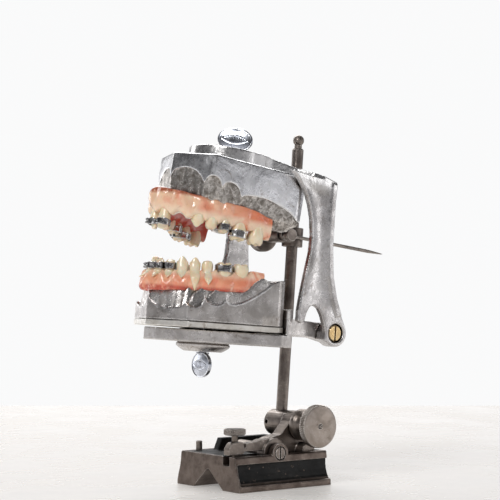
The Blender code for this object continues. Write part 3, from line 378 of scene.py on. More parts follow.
def tooth_material():
    """Glossy ivory, warmer and brownish in blotches."""
    shade = Shader("ivory", roughness=0.22, Subsurface_Weight=0.2, Subsurface_Scale=0.001,
                   Coat_Weight=0.4, Coat_Roughness=0.1)
    cloud = shade.noise(5.0, 4.0, 0.6)
    colour = shade.mix(shade.ramp(cloud, 0.3, 0.7), (0.95, 0.84, 0.64), (0.88, 0.70, 0.45))
    fine = shade.noise(1.3, 5.0, 0.7, stretch=((1.0, 1.0, 0.3), (0.0, 0.0, 0.0)))
    colour = shade.mix(shade.ramp(fine, 0.60, 0.80, 0.0, 0.45), colour, (0.62, 0.40, 0.20))
    return shade.finish(colour, shade.ramp(cloud, 0.3, 0.7, 0.16, 0.3), shade.bump(fine, 0.06))


METALS = {use: metal(*look) for use, look in METAL_LOOKS.items()}
LOW_RECESS = make_recess_metal("low_recess", (0.86, 0.83, 0.81), (0.46, 0.43, 0.41), 0.7)
# painted shade: the upper cast's recess is a much darker copy of the lower cast's, with stronger
# crevice shade
RECESS = make_recess_metal("recess", (0.72, 0.68, 0.64), (0.17, 0.15, 0.13), 0.95)
IRON = painted_iron()
LOWER_GUM = gum_material("lower_gum_pink", (0.95, 0.44, 0.27), (0.86, 0.25, 0.14),
                         (0.56, 0.08, 0.04), (0.99, 0.74, 0.54), JAW, 1, 21.6, 31.5)
UPPER_GUM = gum_material("upper_gum_pink", (0.95, 0.62, 0.42), (0.80, 0.22, 0.11),
                         (0.44, 0.11, 0.05), (0.99, 0.78, 0.58), UPPER, -1, 61.4, 50.5)
PALATE = gum_material("palate_red", (0.66, 0.10, 0.06), (0.60, 0.07, 0.04),
                      (0.36, 0.02, 0.012), (0.78, 0.26, 0.17), UPPER, -1, 70.0, 45.0)
IVORY = tooth_material()


# ---------------------------------------------------------------- pieces

def linked(name, data):
    """A new object in the scene."""
    made = bpy.data.objects.new(name, data)
    bpy.context.scene.collection.objects.link(made)
    return made


def mesh_of(name, bm):
    """A mesh with the shape of a bmesh, which is used up."""
    mesh = bpy.data.meshes.new(name)
    bm.to_mesh(mesh)
    bm.free()
    return mesh


def angles(count):
    """Equal steps round a circle."""
    return [2 * math.pi * k / count for k in range(count)]


def piece(name, bm, body, materials, place=BASE, replaces=(), sharp=32.0):
    """A mesh piece drawn in place's millimetres, riding on a body."""
    bm.transform(Matrix.Scale(MM, 4) @ place)
    mesh = mesh_of(name, bm)
    mesh.shade_smooth()
    mesh.set_sharp_from_angle(angle=math.radians(sharp))
    made = linked(name, mesh)
    for material in materials if isinstance(materials, tuple) else (materials,):
        mesh.materials.append(material)
    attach(made, body)
    if replaces:
        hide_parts(*replaces)


def jaw_piece(jaw, name, bm, materials, replaces=(), sharp=40.0):
    """A piece drawn in a jaw's millimetres, riding on it."""
    piece(name, bm, jaw["body"], materials, jaw["place"], replaces, sharp)


def rounded_copy(node, body, material, voxel_mm, passes, reshape=None, place=BASE):
    """A finer copy of a CAD node with its edges rounded like a casting's.

    reshape moves each point, given in place's millimetres.
    """
    bm = bmesh.new()
    bm.from_mesh(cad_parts[node].data)
    bmesh.ops.remove_doubles(bm, verts=bm.verts, dist=1e-6)
    holder = linked(node + "_source", mesh_of(node + "_source", bm))
    remesh = holder.modifiers.new("remesh", "REMESH")
    remesh.mode = "VOXEL"
    remesh.voxel_size = voxel_mm * MM
    soften = holder.modifiers.new("smooth", "SMOOTH")
    soften.iterations = passes
    soften.factor = 0.5
    depsgraph = bpy.context.evaluated_depsgraph_get()
    fine = bpy.data.meshes.new_from_object(holder.evaluated_get(depsgraph))
    bpy.data.objects.remove(holder, do_unlink=True)
    made = linked(node + "_surface", fine)
    fine.materials.clear()
    fine.materials.append(material)
    if reshape:
        full = Matrix.Scale(MM, 4) @ place
        back = full.inverted()
        for vertex in fine.vertices:
            vertex.co = full @ reshape(back @ vertex.co)
    fine.shade_smooth()
    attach(made, body)
    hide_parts(node)


def repaint(material, *nodes):
    """Give CAD nodes whose shape is right a node material."""
    for node in nodes:
        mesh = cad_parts[node].data
        mesh.materials.clear()
        mesh.materials.append(material)


def grid(rows, closed=True, caps=False):
    """A surface through rows of equally many points."""
    bm = bmesh.new()
    made = [[bm.verts.new(point) for point in row] for row in rows]
    count = len(made[0])
    for lower, upper in zip(made, made[1:]):
        for i in range(count if closed else count - 1):
            j = (i + 1) % count
            bm.faces.new((lower[i], lower[j], upper[j], upper[i]))
    if caps:
        bm.faces.new(made[0][::-1])
        bm.faces.new(made[-1])
    bm.normal_update()
    return bm


def solid(rows):
    """A closed surface through rings of equally many points, facing outwards."""
    bm = grid(rows, caps=True)
    bmesh.ops.recalc_face_normals(bm, faces=bm.faces)
    return bm


def merged(*parts):
    """One bmesh of several."""
    whole = parts[0]
    for part in parts[1:]:
        mesh = mesh_of("part", part)
        whole.from_mesh(mesh)
        bpy.data.meshes.remove(mesh)
    return whole


def spin(profile, steps, wave=None):
    """A turned solid about Z from (radius, height) points; wave(angle, index) adds to a radius."""
    rows = []
    for index, (radius, height) in enumerate(profile):
        row = []
        for angle in angles(steps):
            reach = radius + (wave(angle, index) if wave else 0.0)
            row.append((reach * math.cos(angle), reach * math.sin(angle), height))
        rows.append(row)
    return solid(rows)


def block(size, centre, bevel=0.12):
    """A small box with bevelled edges."""
    bm = bmesh.new()
    bmesh.ops.create_cube(bm, size=1.0)
    bmesh.ops.scale(bm, vec=size, verts=bm.verts)
    bmesh.ops.bevel(bm, geom=bm.edges[:], offset=bevel, segments=2, affect="EDGES")
    bmesh.ops.translate(bm, vec=centre, verts=bm.verts)
    return bm


def wire(points, radius, sides=8):
    """A round wire through points, closed at both ends."""
    rows = []
    for index, point in enumerate(points):
        ahead = Vector(points[min(index + 1, len(points) - 1)])
        behind = Vector(points[max(index - 1, 0)])
        heading = (ahead - behind).normalized()
        side = heading.cross(Vector((0.31, 0.17, 0.93))).normalized()
        other = heading.cross(side)
        rows.append([Vector(point) + (side * math.cos(a) + other * math.sin(a)) * radius
                     for a in angles(sides)])
    return solid(rows)


# ---------------------------------------------------------------- jaws

def smooth(value, low, high):
    """0 below low, 1 above high, eased between."""
    t = min(max((value - low) / (high - low), 0.0), 1.0)
    return t * t * (3.0 - 2.0 * t)


def arch_place(jaw, x, offset=0.0):
    """A point of the arch moved outwards by offset, and the angle of its normal.

    Past ARCH_BEND the arch runs straight back, and x counts its length.
    """
    side = math.copysign(1.0, x)
    bend = min(abs(x), ARCH_BEND)
    past = (abs(x) - bend) * ARCH_END_STRETCH
    angle = math.atan(2.0 * jaw["curve"] * bend) if past <= 0.0 else ARCH_END_TURN
    px = bend + past * math.cos(angle) + math.sin(angle) * offset
    py = (jaw["front"] + jaw["curve"] * bend * bend + past * math.sin(angle)
          - math.cos(angle) * offset)
    return side * px, py, side * angle


def arch_line(jaw):
    """Points, normals and places (0 in front to 1 behind) along one half of an arch."""
    line = []
    for step in range(91):
        t = step / 90
        px, py, angle = arch_place(jaw, jaw["reach"] * step / 90)
        line.append((px, py, math.sin(angle), -math.cos(angle), t))
    return line


def arch_nearest(line, x, y):
    """How far a point lies outside an arch, its place along it, and how far past its end."""
    x = abs(x)
    px, py, nx, ny, t = min(line, key=lambda p: (x - p[0]) ** 2 + (y - p[1]) ** 2)
    offset = (x - px) * nx + (y - py) * ny
    past = (x - px) * -ny + (y - py) * nx if t == 1.0 else 0.0
    return offset, t, max(past, 0.0)


def lower_seat(t):
    """Height of the lower gum's underside."""
    return 21.0 + 2.6 * t + 7.4 * smooth(t, 0.88, 1.0)


def upper_seat(t):
    """Height of the upper gum's top side."""
    return 62.0 - 4.2 * t - 2.2 * smooth(t, 0.88, 1.0)


def rim_height(stretches, distance):
    """Height of a cast's rim at a distance along its wall, by Catmull-Rom in each stretch."""
    for stretch in stretches:
        if distance <= stretch[-1][0] or stretch is stretches[-1]:
            break
    distance = min(distance, stretch[-1][0])
    index = 0
    while index < len(stretch) - 2 and stretch[index + 1][0] < distance:
        index += 1
    p1, p2 = stretch[index], stretch[index + 1]
    p0 = stretch[max(index - 1, 0)]
    p3 = stretch[min(index + 2, len(stretch) - 1)]
    t = (distance - p1[0]) / (p2[0] - p1[0])
    m1 = (p2[1] - p0[1]) / (p2[0] - p0[0]) * (p2[0] - p1[0])
    m2 = (p3[1] - p1[1]) / (p3[0] - p1[0]) * (p2[0] - p1[0])
    return ((2 * t**3 - 3 * t**2 + 1) * p1[1] + (t**3 - 2 * t**2 + t) * m1
            + (-2 * t**3 + 3 * t**2) * p2[1] + (t**3 - t**2) * m2)


def cast_stations():
    """Points round a cast's outline from the midline, each (x, y, distance along the wall)."""
    half = []
    distance = 0.0
    for start, stop, steps in zip(OUTLINE, OUTLINE[1:], EDGE_STEPS):
        start, stop = Vector(start), Vector(stop)
        for step in range(steps):
            point = start.lerp(stop, step / steps)
            half.append((point.x, point.y, distance + (stop - start).length * step / steps))
        distance += (stop - start).length
    last = OUTLINE[-1]
    other = [(-x, y, d) for x, y, d in half[:0:-1]]
    return half + [(last[0], last[1], distance)] + other


def root_bumps(jaw, x, power):
    """1 in front of a tooth's root, 0 between teeth."""
    best = 0.0
    for _, tooth_x, width, *_ in jaw["teeth"]:
        slope = math.hypot(1.0, 2.0 * jaw["curve"] * tooth_x)
        reach = 0.5 * width / slope + 0.25
        for side in (1, -1):
            away = abs(x - side * tooth_x) / reach
            if away < 1.0:
                best = max(best, math.cos(away * math.pi / 2) ** power)
    return best


def cast_surface(jaw, rim, floor, seat_at, hollow):
    """The wall, recess and ridge of a cast. Heights grow towards the teeth (up times Z)."""
    up = jaw["up"]
    line = arch_line(jaw)
    stations = cast_stations()
    centre = Vector((0.0, -58.0))
    # (height step, inset) up the wall: foot above floor, share of the wall, rim from its height
    wall = ((0.0, 1.1), (0.15, 0.55), (0.45, 0.2), (0.9, 0.03), (1.2, 0.0), (0.3, 0.0), (0.6, 0.0),
            (-0.9, 0.0), (-0.35, 0.04), (-0.1, 0.14), (0.0, 0.32))
    if up > 0:
        wall = ((0.0, 0.3), (0.15, 0.1), (0.3, 0.0)) + wall[5:]
    rows = [[] for _ in wall]
    steps_out, steps_in = 24, 18
    tops = [[] for _ in range(steps_out + steps_in)]
    for x, y, distance in stations:
        height = up * rim_height(rim, distance)
        span = (centre - Vector((x, y))).length
        inwards = (centre - Vector((x, y))) / span
        edge_count = len(wall) - 6
        for index, (row, (step, inset)) in enumerate(zip(rows, wall)):
            if index < edge_count:
                level = floor + step
            elif index < edge_count + 2:
                level = floor + (height - floor) * step
            else:
                level = height + step
            wave = 0.10 * noise.noise(Vector((x * 0.12, y * 0.12, level * 0.12)))
            row.append((x + inwards.x * (inset + wave), y + inwards.y * (inset + wave), up * level))
        low, high = 0.3, 1.0
        for _ in range(14):
            middle = (low + high) / 2
            point = centre.lerp(Vector((x, y)), middle)
            if arch_nearest(line, point.x, point.y)[0] > 4.2:
                high = middle
            else:
                low = middle
        plain = smooth(distance, *jaw["plain"])
        inner = min(high, 1.0 - 1.8 / span) * (1.0 - plain) + (1.0 - 3.4 / span) * plain
        _, t, _ = arch_nearest(line, x * inner, centre.y + (y - centre.y) * inner)
        seat = up * seat_at(t)
        for k in range(steps_out):
            u = (k + 1) / steps_out
            point = centre.lerp(Vector((x, y)), 1.0 - (1.0 - inner) * u)
            climb = smooth(u, 0.22, 1.0)
            level = height + (seat - 0.3 - height) * climb
            level -= 1.5 * math.sin(math.pi * min(u / 0.6, 1.0)) * smooth(seat - height, 0.0, 3.0)
            window = math.sin(math.pi * min(max((u - 0.1) / 0.9, 0.0), 1.0)) ** 0.7
            level += 3.2 * root_bumps(jaw, point.x, 0.9) * window * (1.0 - smooth(distance, 58, 66))
            level += 0.4 * noise.noise(Vector((point.x, point.y, 3.0 * up)) * 0.8) * window
            level = level * (1.0 - plain) + (height - 0.2 * smooth(u, 0.0, 0.3)) * plain
            tops[k].append((point.x, point.y, up * level))
        last = tops[steps_out - 1][-1][2] * up
        for k in range(steps_in):
            u = (k + 1) / steps_in
            point = centre.lerp(Vector((x, y)), inner * (1.0 - u) + 0.001 * u)
            offset, t, past = arch_nearest(line, point.x, point.y)
            crest = up * seat_at(t) - 0.35
            fall = smooth(past, 0.0, 4.0)
            if up < 0:
                crest, fall = crest + 4.5 * smooth(past, 0.3, 3.0), 0.0
            off = max(smooth(-offset, 5.0, 8.5), fall, smooth(offset, 4.6, 7.5) * (up > 0))
            level = crest + (hollow - crest) * off
            level = last + (level - last) * smooth(u, 0.0, 0.16 + 0.14 * plain)
            tops[steps_out + k].append((point.x, point.y, up * level))
    bm = solid(rows + tops)
    count = len(stations)
    bm.faces.ensure_lookup_table()
    for row in range(len(wall) - 1, len(wall) + steps_out + steps_in - 1):
        for i in range(count):
            bm.faces[row * count + i].material_index = 1
    return bm


def make_casts():
    """Both casts and the flat plate under the lower one."""
    jaw_piece(LOWER, "lower_cast_surface", cast_surface(LOWER, LOWER_RIM, 5.9, lower_seat, 19.2),
              (METALS["low"], LOW_RECESS), ("lower_cast",), 28.0)
    jaw_piece(UPPER_JAW, "upper_cast_surface",
              cast_surface(UPPER_JAW, UPPER_RIM, -82.8, upper_seat, -66.5),
              (METALS["cast"], RECESS), ("upper_cast",), 28.0)
    repaint(METALS["plate"], "lower_cast_plate")


def along(points, position):
    """A Catmull-Rom curve through (offset, height) points."""
    index = min(int(position), len(points) - 2)
    blend = position - index
    before, after = points[max(index - 1, 0)], points[min(index + 2, len(points) - 1)]
    here, there = points[index], points[index + 1]
    return [0.5 * (2 * here[n] + (there[n] - before[n]) * blend
                   + (2 * before[n] - 5 * here[n] + 4 * there[n] - after[n]) * blend**2
                   + (3 * here[n] - before[n] - 3 * there[n] + after[n]) * blend**3)
            for n in (0, 1)]


GUM_STATIONS, GUM_SAMPLES = 190, 40


def gum_surface(jaw, section, margin, inner_from):
    """A gum along an arch; section(t) gives (offset, height) towards the teeth, from outside in.

    Faces from sample inner_from on, towards the tongue, take the second material.
    """
    up = jaw["up"]
    rows = []
    for i in range(GUM_STATIONS + 1):
        x = jaw["reach"] * math.sin(math.pi / 2 * (2.0 * i / GUM_STATIONS - 1.0))
        t = abs(x) / jaw["reach"]
        end = smooth(t, 0.94, 1.0)
        points = section(t)
        row = []
        for k in range(GUM_SAMPLES + 1):
            offset, level = along(points, k / GUM_SAMPLES * (len(points) - 1))
            outer = smooth(offset, 0.5, 3.0)
            bump = root_bumps(jaw, x, 1.0)
            crown = k / GUM_SAMPLES
            window = math.sin(math.pi * min(crown * 2.4, 1.0))
            offset += 1.35 * (bump - 0.45) * window * outer * (1.0 - end)
            top = smooth(crown, 0.18, 0.34) * (1.0 - smooth(crown, 0.62, 0.85))
            level += margin * (0.42 - bump) * top * (1.0 - end)
            wobble = noise.noise(Vector((x * 0.32, offset * 0.3, level * 0.3 + 7.0 * up)))
            fine = noise.noise(Vector((x * 1.1, offset, level * 0.9 + 3.0 * up)))
            offset += (0.5 * wobble + 0.16 * fine) * outer
            level += 0.35 * wobble
            px, py, _ = arch_place(jaw, x, offset)
            row.append((px, py, up * level))
        rows.append(row)
    for row in (rows[0], rows[-1]):
        middle = sum((Vector(point) for point in row), Vector()) / len(row)
        row[:] = [tuple(middle.lerp(Vector(point), 0.72)) for point in row]
    bm = solid(rows)
    bm.faces.ensure_lookup_table()
    for i in range(GUM_STATIONS):
        for k in range(inner_from, GUM_SAMPLES):
            bm.faces[i * (GUM_SAMPLES + 1) + k].material_index = 1
    return bm


def make_gums():
    """The two gums and the palate. A section's points run from the outside in."""
    def low(t):
        e, f, seat = smooth(t, 0.75, 1.0), smooth(t, 0.88, 1.0), lower_seat(t)
        return [(3.6 - 2.4 * e, seat + 0.2), (5.0 - 3.2 * e, seat - 0.7),
                (5.9 - 3.6 * e, seat + 1.6 - 0.8 * f), (6.0 - 3.6 * e, seat + 4.6 - 3.4 * f),
                (4.9 - 2.8 * e, 28.6 + 2.8 * t + 1.2 * f),
                (3.0 - 1.6 * e, 30.4 + 2.4 * t + 0.8 * f),
                (0.0, 30.3 + 2.4 * t + 1.0 * f), (-3.0 + 1.6 * e, 30.3 + 2.4 * t + 0.8 * f),
                (-5.2 + 2.9 * e, 27.6 + 2.6 * t + 2.2 * f), (-6.0 + 3.2 * e, seat)]

    def high(t):
        e, f, seat = smooth(t, 0.8, 1.0), smooth(t, 0.88, 1.0), -upper_seat(t)
        return [(2.2 - 0.8 * e, seat + 0.2), (3.7 - 1.0 * e, seat - 0.4),
                (4.6 - 1.2 * e, seat + 1.8),
                (4.9 - 1.4 * e, -57.0 + 3.6 * t + f), (4.6 - 1.2 * e, -53.4 + 3.0 * t + 2.0 * f),
                (3.2 - 0.8 * e, -50.2 + 2.4 * t + 2.8 * f), (0.0, -50.0 + 2.4 * t + 3.0 * f),
                (-3.6 + 0.8 * e, -50.4 + 2.4 * t + 2.6 * f), (-6.2 + 2.6 * e, -54.0 + 3.0 * t + f),
                (-7.4 + 3.0 * e, -58.6 + 3.4 * t + f), (-6.6 + 2.8 * e, seat)]
    jaw_piece(LOWER, "lower_gum_surface", gum_surface(LOWER, low, 2.6, GUM_SAMPLES),
              LOWER_GUM, ("lower_gum",), 60.0)
    jaw_piece(UPPER_JAW, "upper_gum_surface", gum_surface(UPPER_JAW, high, 2.4, 27),
              (UPPER_GUM, PALATE), ("upper_gum",), 60.0)
    make_palate()


def make_palate():
    """The vaulted palate between the two sides of the upper gum."""
    rows = []
    for thick in (0.0, 1.4):
        ring_rows = []
        for ring in range(14):
            part = 1.0 - ring / 13 * 0.985
            row = []
            for step in range(81):
                x = 29.4 * math.sin(math.pi / 2 * (step / 40 - 1.0))
                px, py, _ = arch_place(UPPER_JAW, x, -5.6 + 1.6 * smooth(abs(x), 24.0, 29.4))
                t = abs(x) / 30.4
                edge = 56.4 - 3.0 * t
                dome = 61.0 - 3.6 * smooth(py, -80.0, -46.0)
                level = edge + (dome - edge) * math.sin(math.pi / 2 * (1.0 - part) ** 0.8)
                crease = 0.35 * math.cos(py * 1.5 + abs(px) * 0.3) * smooth(-py, 66.0, 74.0)
                row.append((px * part, -49.0 + (py + 49.0) * (0.15 + 0.85 * part),
                            level + thick + crease * math.sin(math.pi * part)))
            ring_rows.append(row)
        rows.append(ring_rows)
    under, over = rows
    bm = grid(over[::-1] + under, closed=False)
    bmesh.ops.remove_doubles(bm, verts=bm.verts, dist=1e-4)
    bmesh.ops.holes_fill(bm, edges=bm.edges, sides=0)
    bmesh.ops.recalc_face_normals(bm, faces=bm.faces)
    jaw_piece(UPPER_JAW, "upper_palate", bm, PALATE, (), 60.0)


def squarish(angle, power=0.8):
    """A point of a squarish circle."""
    across, through = math.cos(angle), math.sin(angle)
    return (math.copysign(abs(across) ** power, across),
            math.copysign(abs(through) ** power, through))


def tooth_top(kind, u, v):
    """Height of the biting surface at u, v in -1 to 1, in millimetres."""
    if kind == "incisor":
        return -0.25 * u * u
    if kind == "canine":
        return 0.9 - 1.7 * abs(u) ** 1.7
    if kind == "premolar":
        cusp = math.exp(-((abs(v) - 0.62) / 0.34) ** 2)
        return 0.9 * cusp * (1.0 - 0.55 * u * u) - 0.5
    cusps = math.exp(-((abs(v) - 0.58) / 0.33) ** 2) * math.exp(-((abs(u) - 0.52) / 0.36) ** 2)
    return 1.3 * cusps - 0.7


def tooth_surface(jaw, spec, side):
    """One tooth: root, waist, crown and biting surface."""
    number, x, width, depth, height, tip, kind = spec
    up = jaw["up"]
    seed = number * 3.7 + side * 1.3 + up
    flat = {"incisor": (0.86, 0.24), "canine": (0.66, 0.46), "premolar": (0.76, 0.74),
            "molar": (0.86, 0.84)}[kind]
    # (height above the neck, share of the width, share of the depth)
    levels = [(-6.0, 0.20, 0.24), (-4.5, 0.42, 0.48), (-3.0, 0.60, 0.68), (-1.5, 0.72, 0.80),
              (0.0, 0.79, 0.87), (height * 0.16, 0.86, 0.94), (height * 0.34, 0.94, 0.995),
              (height * 0.52, 0.985, 0.98), (height * 0.70, 1.0, 0.40 + flat[1] * 0.6),
              (height * 0.84, 0.97, 0.18 + flat[1] * 0.84),
              (height * 0.94, 0.93 if kind == "incisor"
               else 0.2 + 0.8 * flat[0], 0.04 + flat[1] * 0.96)]
    rows = []
    circle = [squarish(angle) for angle in angles(28)]
    lift = {"canine": -1.2, "premolar": -0.5, "molar": -0.5}.get(kind, -0.2)
    for level, wide, deep in levels:
        row = []
        for u, v in circle:
            near = smooth(level, height * 0.5, height)
            rough = 1.0 + 0.03 * noise.noise(Vector((u, v, level * 0.3 + seed)))
            rise = level + near * (tooth_top(kind, u, v) + lift * 0.4)
            row.append((width / 2 * wide * u * rough, depth / 2 * deep * v * rough,
                        tip - up * (height - rise)))
        rows.append(row)
    for ring in (0.96, 0.82, 0.62, 0.42, 0.22, 0.04):
        row = []
        crown = 0.16 if kind in ("incisor", "canine") else 0.1
        for u, v in circle:
            groove = tooth_top(kind, u * ring, v * ring)
            row.append((width / 2 * flat[0] * u * ring, depth / 2 * flat[1] * v * ring,
                        tip + up * (groove + lift * 0.4 + crown * (1 - ring) - 0.02)))
        rows.append(row)
    return stand(solid(rows), jaw, x * side)


def bare_root(jaw, spec, side, length):
    """The bare outer face of a root, lying on the gum below a crown and tapering to its end."""
    _, x, width, _, height, tip, _ = spec
    up = jaw["up"]
    rows = []
    for step in range(15):
        u = step / 14
        wide = 0.5 * width * (1.0 - (0.1 + 0.9 * u) ** 2.0) + 0.08
        deep = 1.9 * (1.0 - 0.35 * u)
        fall = length * u
        lean = 1.6 + (4.2 if up > 0 else 2.0) * smooth(fall, 0.0, 4.5)
        level = tip - up * (height * 0.72 + length * u)
        rows.append([(wide * math.cos(a), -lean - deep * math.sin(a), level)
                     for a in angles(24)])
    return stand(solid(rows), jaw, x * side)


def stand(bm, jaw, x):
    """Move a shape drawn at the origin to its place on an arch."""
    px, py, angle = arch_place(jaw, x)
    bm.transform(Matrix.Translation((px, py, 0.0)) @ Matrix.Rotation(angle, 4, "Z"))
    return bm


def band_ring(width, depth, middle, tall, seed):
    """A thin metal band round a crown, with a wavy edge and rolled rims."""
    rows = []
    for wall, z in ((0.10, -0.5), (0.36, -0.46), (0.42, -0.40), (0.36, -0.30), (0.34, 0.0),
                    (0.36, 0.30), (0.42, 0.40), (0.36, 0.46), (0.10, 0.5)):
        row = []
        for angle in angles(48):
            u, v = squarish(angle)
            wave = 0.28 * math.sin(3 * angle + seed) * (1 if z > 0 else -0.6)
            row.append(((width / 2 + wall) * u, (depth / 2 + wall) * v, middle + z * tall + wave))
        rows.append(row)
    bm = grid(rows + rows[:1])
    bmesh.ops.remove_doubles(bm, verts=bm.verts, dist=1e-5)
    bmesh.ops.recalc_face_normals(bm, faces=bm.faces)
    return bm


def bracket(depth, middle, width, tube):
    """A bracket on the front of a band: pad, slotted wings or a tube, and a wire tie round it."""
    front = -depth / 2 - 0.42
    parts = [block((width, 0.7, 2.7), (0.0, front - 0.15, middle), 0.15)]
    if tube:
        parts.append(block((width * 0.95, 1.2, 1.5), (0.0, front - 0.95, middle), 0.3))
        parts.append(wire([(-width * 0.55, front - 1.0, middle + 0.9),
                           (-width * 0.2, front - 1.5, middle + 1.3),
                           (width * 0.4, front - 1.4, middle + 1.2),
                           (width * 0.6, front - 0.9, middle + 0.3)], 0.22))
    else:
        for side in (1, -1):
            for level in (1, -1):
                parts.append(block((0.9, 1.1, 0.85), (side * width * 0.30, front - 0.9,
                                                      middle + level * 0.82), 0.14))
        tie = [((width * 0.5 + 0.15) * math.cos(a), front - 0.85 + 0.15 * math.sin(3 * a),
                middle + 1.35 * math.sin(a)) for a in angles(20) + [2 * math.pi]]
        parts.append(wire(tie, 0.16))
    return merged(*parts)


def make_teeth():
    """Teeth, bands and brackets of both jaws."""
    for jaw in (LOWER, UPPER_JAW):
        for side, quadrant in ((1, jaw["half"][0]), (-1, jaw["half"][1])):
            for spec in jaw["teeth"]:
                label = f"{quadrant}{spec[0]}"
                if label == MISSING:
                    continue
                tooth = tooth_surface(jaw, spec, side)
                if label in ROOTS:
                    tooth = merged(tooth, bare_root(jaw, spec, side, ROOTS[label]))
                jaw_piece(jaw, f"tooth_{label}_surface", tooth, IVORY,
                          (f"tooth_{label}",), 50.0)
                if label in BRACKETED or label in BANDED:
                    make_band(jaw, spec, side, label)


def make_band(jaw, spec, side, label):
    """The band and bracket of one tooth."""
    _, x, width, depth, height, tip, _ = spec
    middle = tip - jaw["up"] * height * 0.42
    ring = band_ring(width, depth, middle, 3.3 if label in BRACKETED else 3.8, spec[1])
    stand(ring, jaw, x * side)
    names = (f"band_{label}",) if f"band_{label}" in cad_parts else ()
    jaw_piece(jaw, f"band_{label}_surface", ring, METALS["band"], names)
    tied = bracket(depth, middle, 3.2 if label in BRACKETED else 3.8, label in BANDED)
    stand(tied, jaw, x * side)
    jaw_piece(jaw, f"bracket_{label}", tied, METALS["bracket"])


# ---------------------------------------------------------------- screws and knobs

def thumbscrew(name, body, place, seat, centre, up, turn):
    """A domed oval paddle with a rolled rim and a generic engraved lens, on a collar and stem."""
    rows = []
    dome = [(0.88 * step / 30, 0.80 + 0.80 * (1.0 - (step / 30) ** 2)) for step in range(31)]
    shape = dome + [(0.90, 0.78), (0.93, 0.98), (0.965, 1.02), (0.992, 0.80), (1.0, 0.3)]
    profile = shape + [(r, -h) for r, h in shape[::-1]]
    for reach, thick in profile:
        row = []
        for angle in angles(96):
            across = math.cos(angle) * max(reach, 0.004)
            rise = math.sin(angle) * max(reach, 0.004)
            lens = abs(rise) - 0.34 * max(1.0 - (across / 0.74) ** 2, 0.0)
            groove = 0.16 * math.exp(-(lens / 0.03) ** 2) if abs(across) < 0.74 else 0.0
            ribs = 0.09 * math.cos(across * 52.0) if lens < -0.02 and abs(across) < 0.7 else 0.0
            row.append((9.8 * across, math.copysign(abs(thick) - groove + ribs, thick), 6.8 * rise))
        rows.append(row)
    bm = grid(rows, caps=True)
    bmesh.ops.translate(bm, vec=(0, 0, centre), verts=bm.verts)
    low, high = sorted((seat + up * 0.3, centre - up * 5.6))
    collar = spin([(3.3, high), (3.6, high - 0.3), (3.6, low + 0.3), (3.3, low)], 40)
    low, high = sorted((seat - up * 15.5, centre - up * 5.4))
    stem = spin([(1.8, high), (2.0, high - 0.2), (2.0, low + 0.3), (1.7, low)], 32)
    bm = merged(bm, collar, stem)
    bmesh.ops.recalc_face_normals(bm, faces=bm.faces)
    bm.transform(Matrix.Translation((0.0, SCREW_Y, 0.0))
                 @ Matrix.Rotation(math.radians(turn), 4, "Z"))
    piece(name + "_surface", bm, body, METALS["chrome"], place, (name,), 35.0)


def knurled(profile, teeth, depth, rim):
    """A turned knob with fine teeth cut into the given rows of its profile."""
    def cut(angle, index):
        return -depth * (0.5 + 0.5 * math.cos(teeth * angle)) if index in rim else 0.0
    return spin(profile, teeth * 6, cut)


def make_knobs():
    """The knurled nuts and the adjusting screw."""
    lie = Matrix.Rotation(math.radians(90), 4, "Y")
    nut = knurled(
        [(1.45, 34.1), (10.6, 34.1), (11.25, 33.9), (11.75, 33.3), (11.75, 32.5), (11.75, 31.0),
         (11.75, 30.3), (11.25, 29.7), (9.6, 29.5), (8.4, 29.2), (7.3, 27.4), (6.9, 25.4),
         (6.9, 23.0), (7.4, 21.2), (8.4, 20.2), (8.5, 19.6), (8.5, 17.8), (8.2, 17.2),
         (2.8, 17.1), (2.8, 31.1), (1.45, 31.1), (1.45, 34.1)], 76, 0.42, (3, 4, 5, 6))
    hub_end = 29.45
    for face in nut.faces:
        if face.calc_center_median().z < hub_end:
            face.material_index = 1
    piece("clamp_nut_surface", nut, "clamp_knob", (METALS["knob"], METALS["steel"]),
          POST @ lie, ("clamp_nut",), 40.0)
    nut = knurled(
        [(2.3, -11.0), (8.3, -11.0), (9.1, -11.4), (9.1, -12.6), (9.1, -14.6), (9.1, -15.8),
         (8.3, -16.2), (2.3, -16.2), (2.3, -11.0)], 56, 0.36, (2, 3, 4, 5))
    piece("snug_nut_surface", nut, "snug_knob", METALS["steel"],
          POST @ Matrix.Translation((0.0, -10.5, 103.0)) @ lie, ("snug_nut",), 40.0)
    knob = knurled(
        [(0.02, 32.7), (5.2, 32.7), (5.9, 32.3), (5.9, 31.6), (5.9, 30.4), (5.9, 29.8),
         (5.2, 29.4), (2.1, 29.3), (1.6, 28.4), (1.6, 14.4), (1.0, 13.8), (0.02, 13.8)],
        40, 0.34, (2, 3, 4, 5))
    piece("fine_adjust_surface", knob, "fine_adjust", METALS["steel"],
          BASE @ Matrix.Translation((16.1, -25.4, 0.0)), ("fine_adjust_screw",), 40.0)


def make_stand():
    """Surfaces of the stand."""
    rounded_copy("gauge_base", "base", IRON, 0.3, 1)
    rounded_copy("rocker_bracket", "rocker", METALS["steel"], 0.27, 3)
    rounded_copy("snug_body", "snug", METALS["steel"], 0.3, 3)
    repaint(METALS["steel"], "pivot_screw", "rocker_spring", "swivel_head", "spindle",
            "gauge_pin_front", "gauge_pin_rear", "snug_bolt", "scriber", "post_set_screw")


# (height, y) down the rear and front edges of the yoke's legs
LEG_REAR = ((14.6, 5.0), (22.5, 0.0), (34.0, -5.0), (48.5, -8.5), (60.0, -10.4), (72.6, -11.8),
            (84.1, -12.6))
LEG_FRONT = ((12.3, -25.0), (22.0, -24.8), (32.0, -24.3), (43.0, -23.4), (52.0, -24.0),
             (61.0, -26.0), (68.5, -29.3), (75.2, -33.5), (79.8, -38.5), (84.1, -44.0))


def between(table, height):
    """Linear interpolation in (height, value) pairs."""
    for (z1, v1), (z2, v2) in zip(table, table[1:]):
        if height <= z2:
            break
    return v1 + (v2 - v1) * (height - z1) / (z2 - z1)


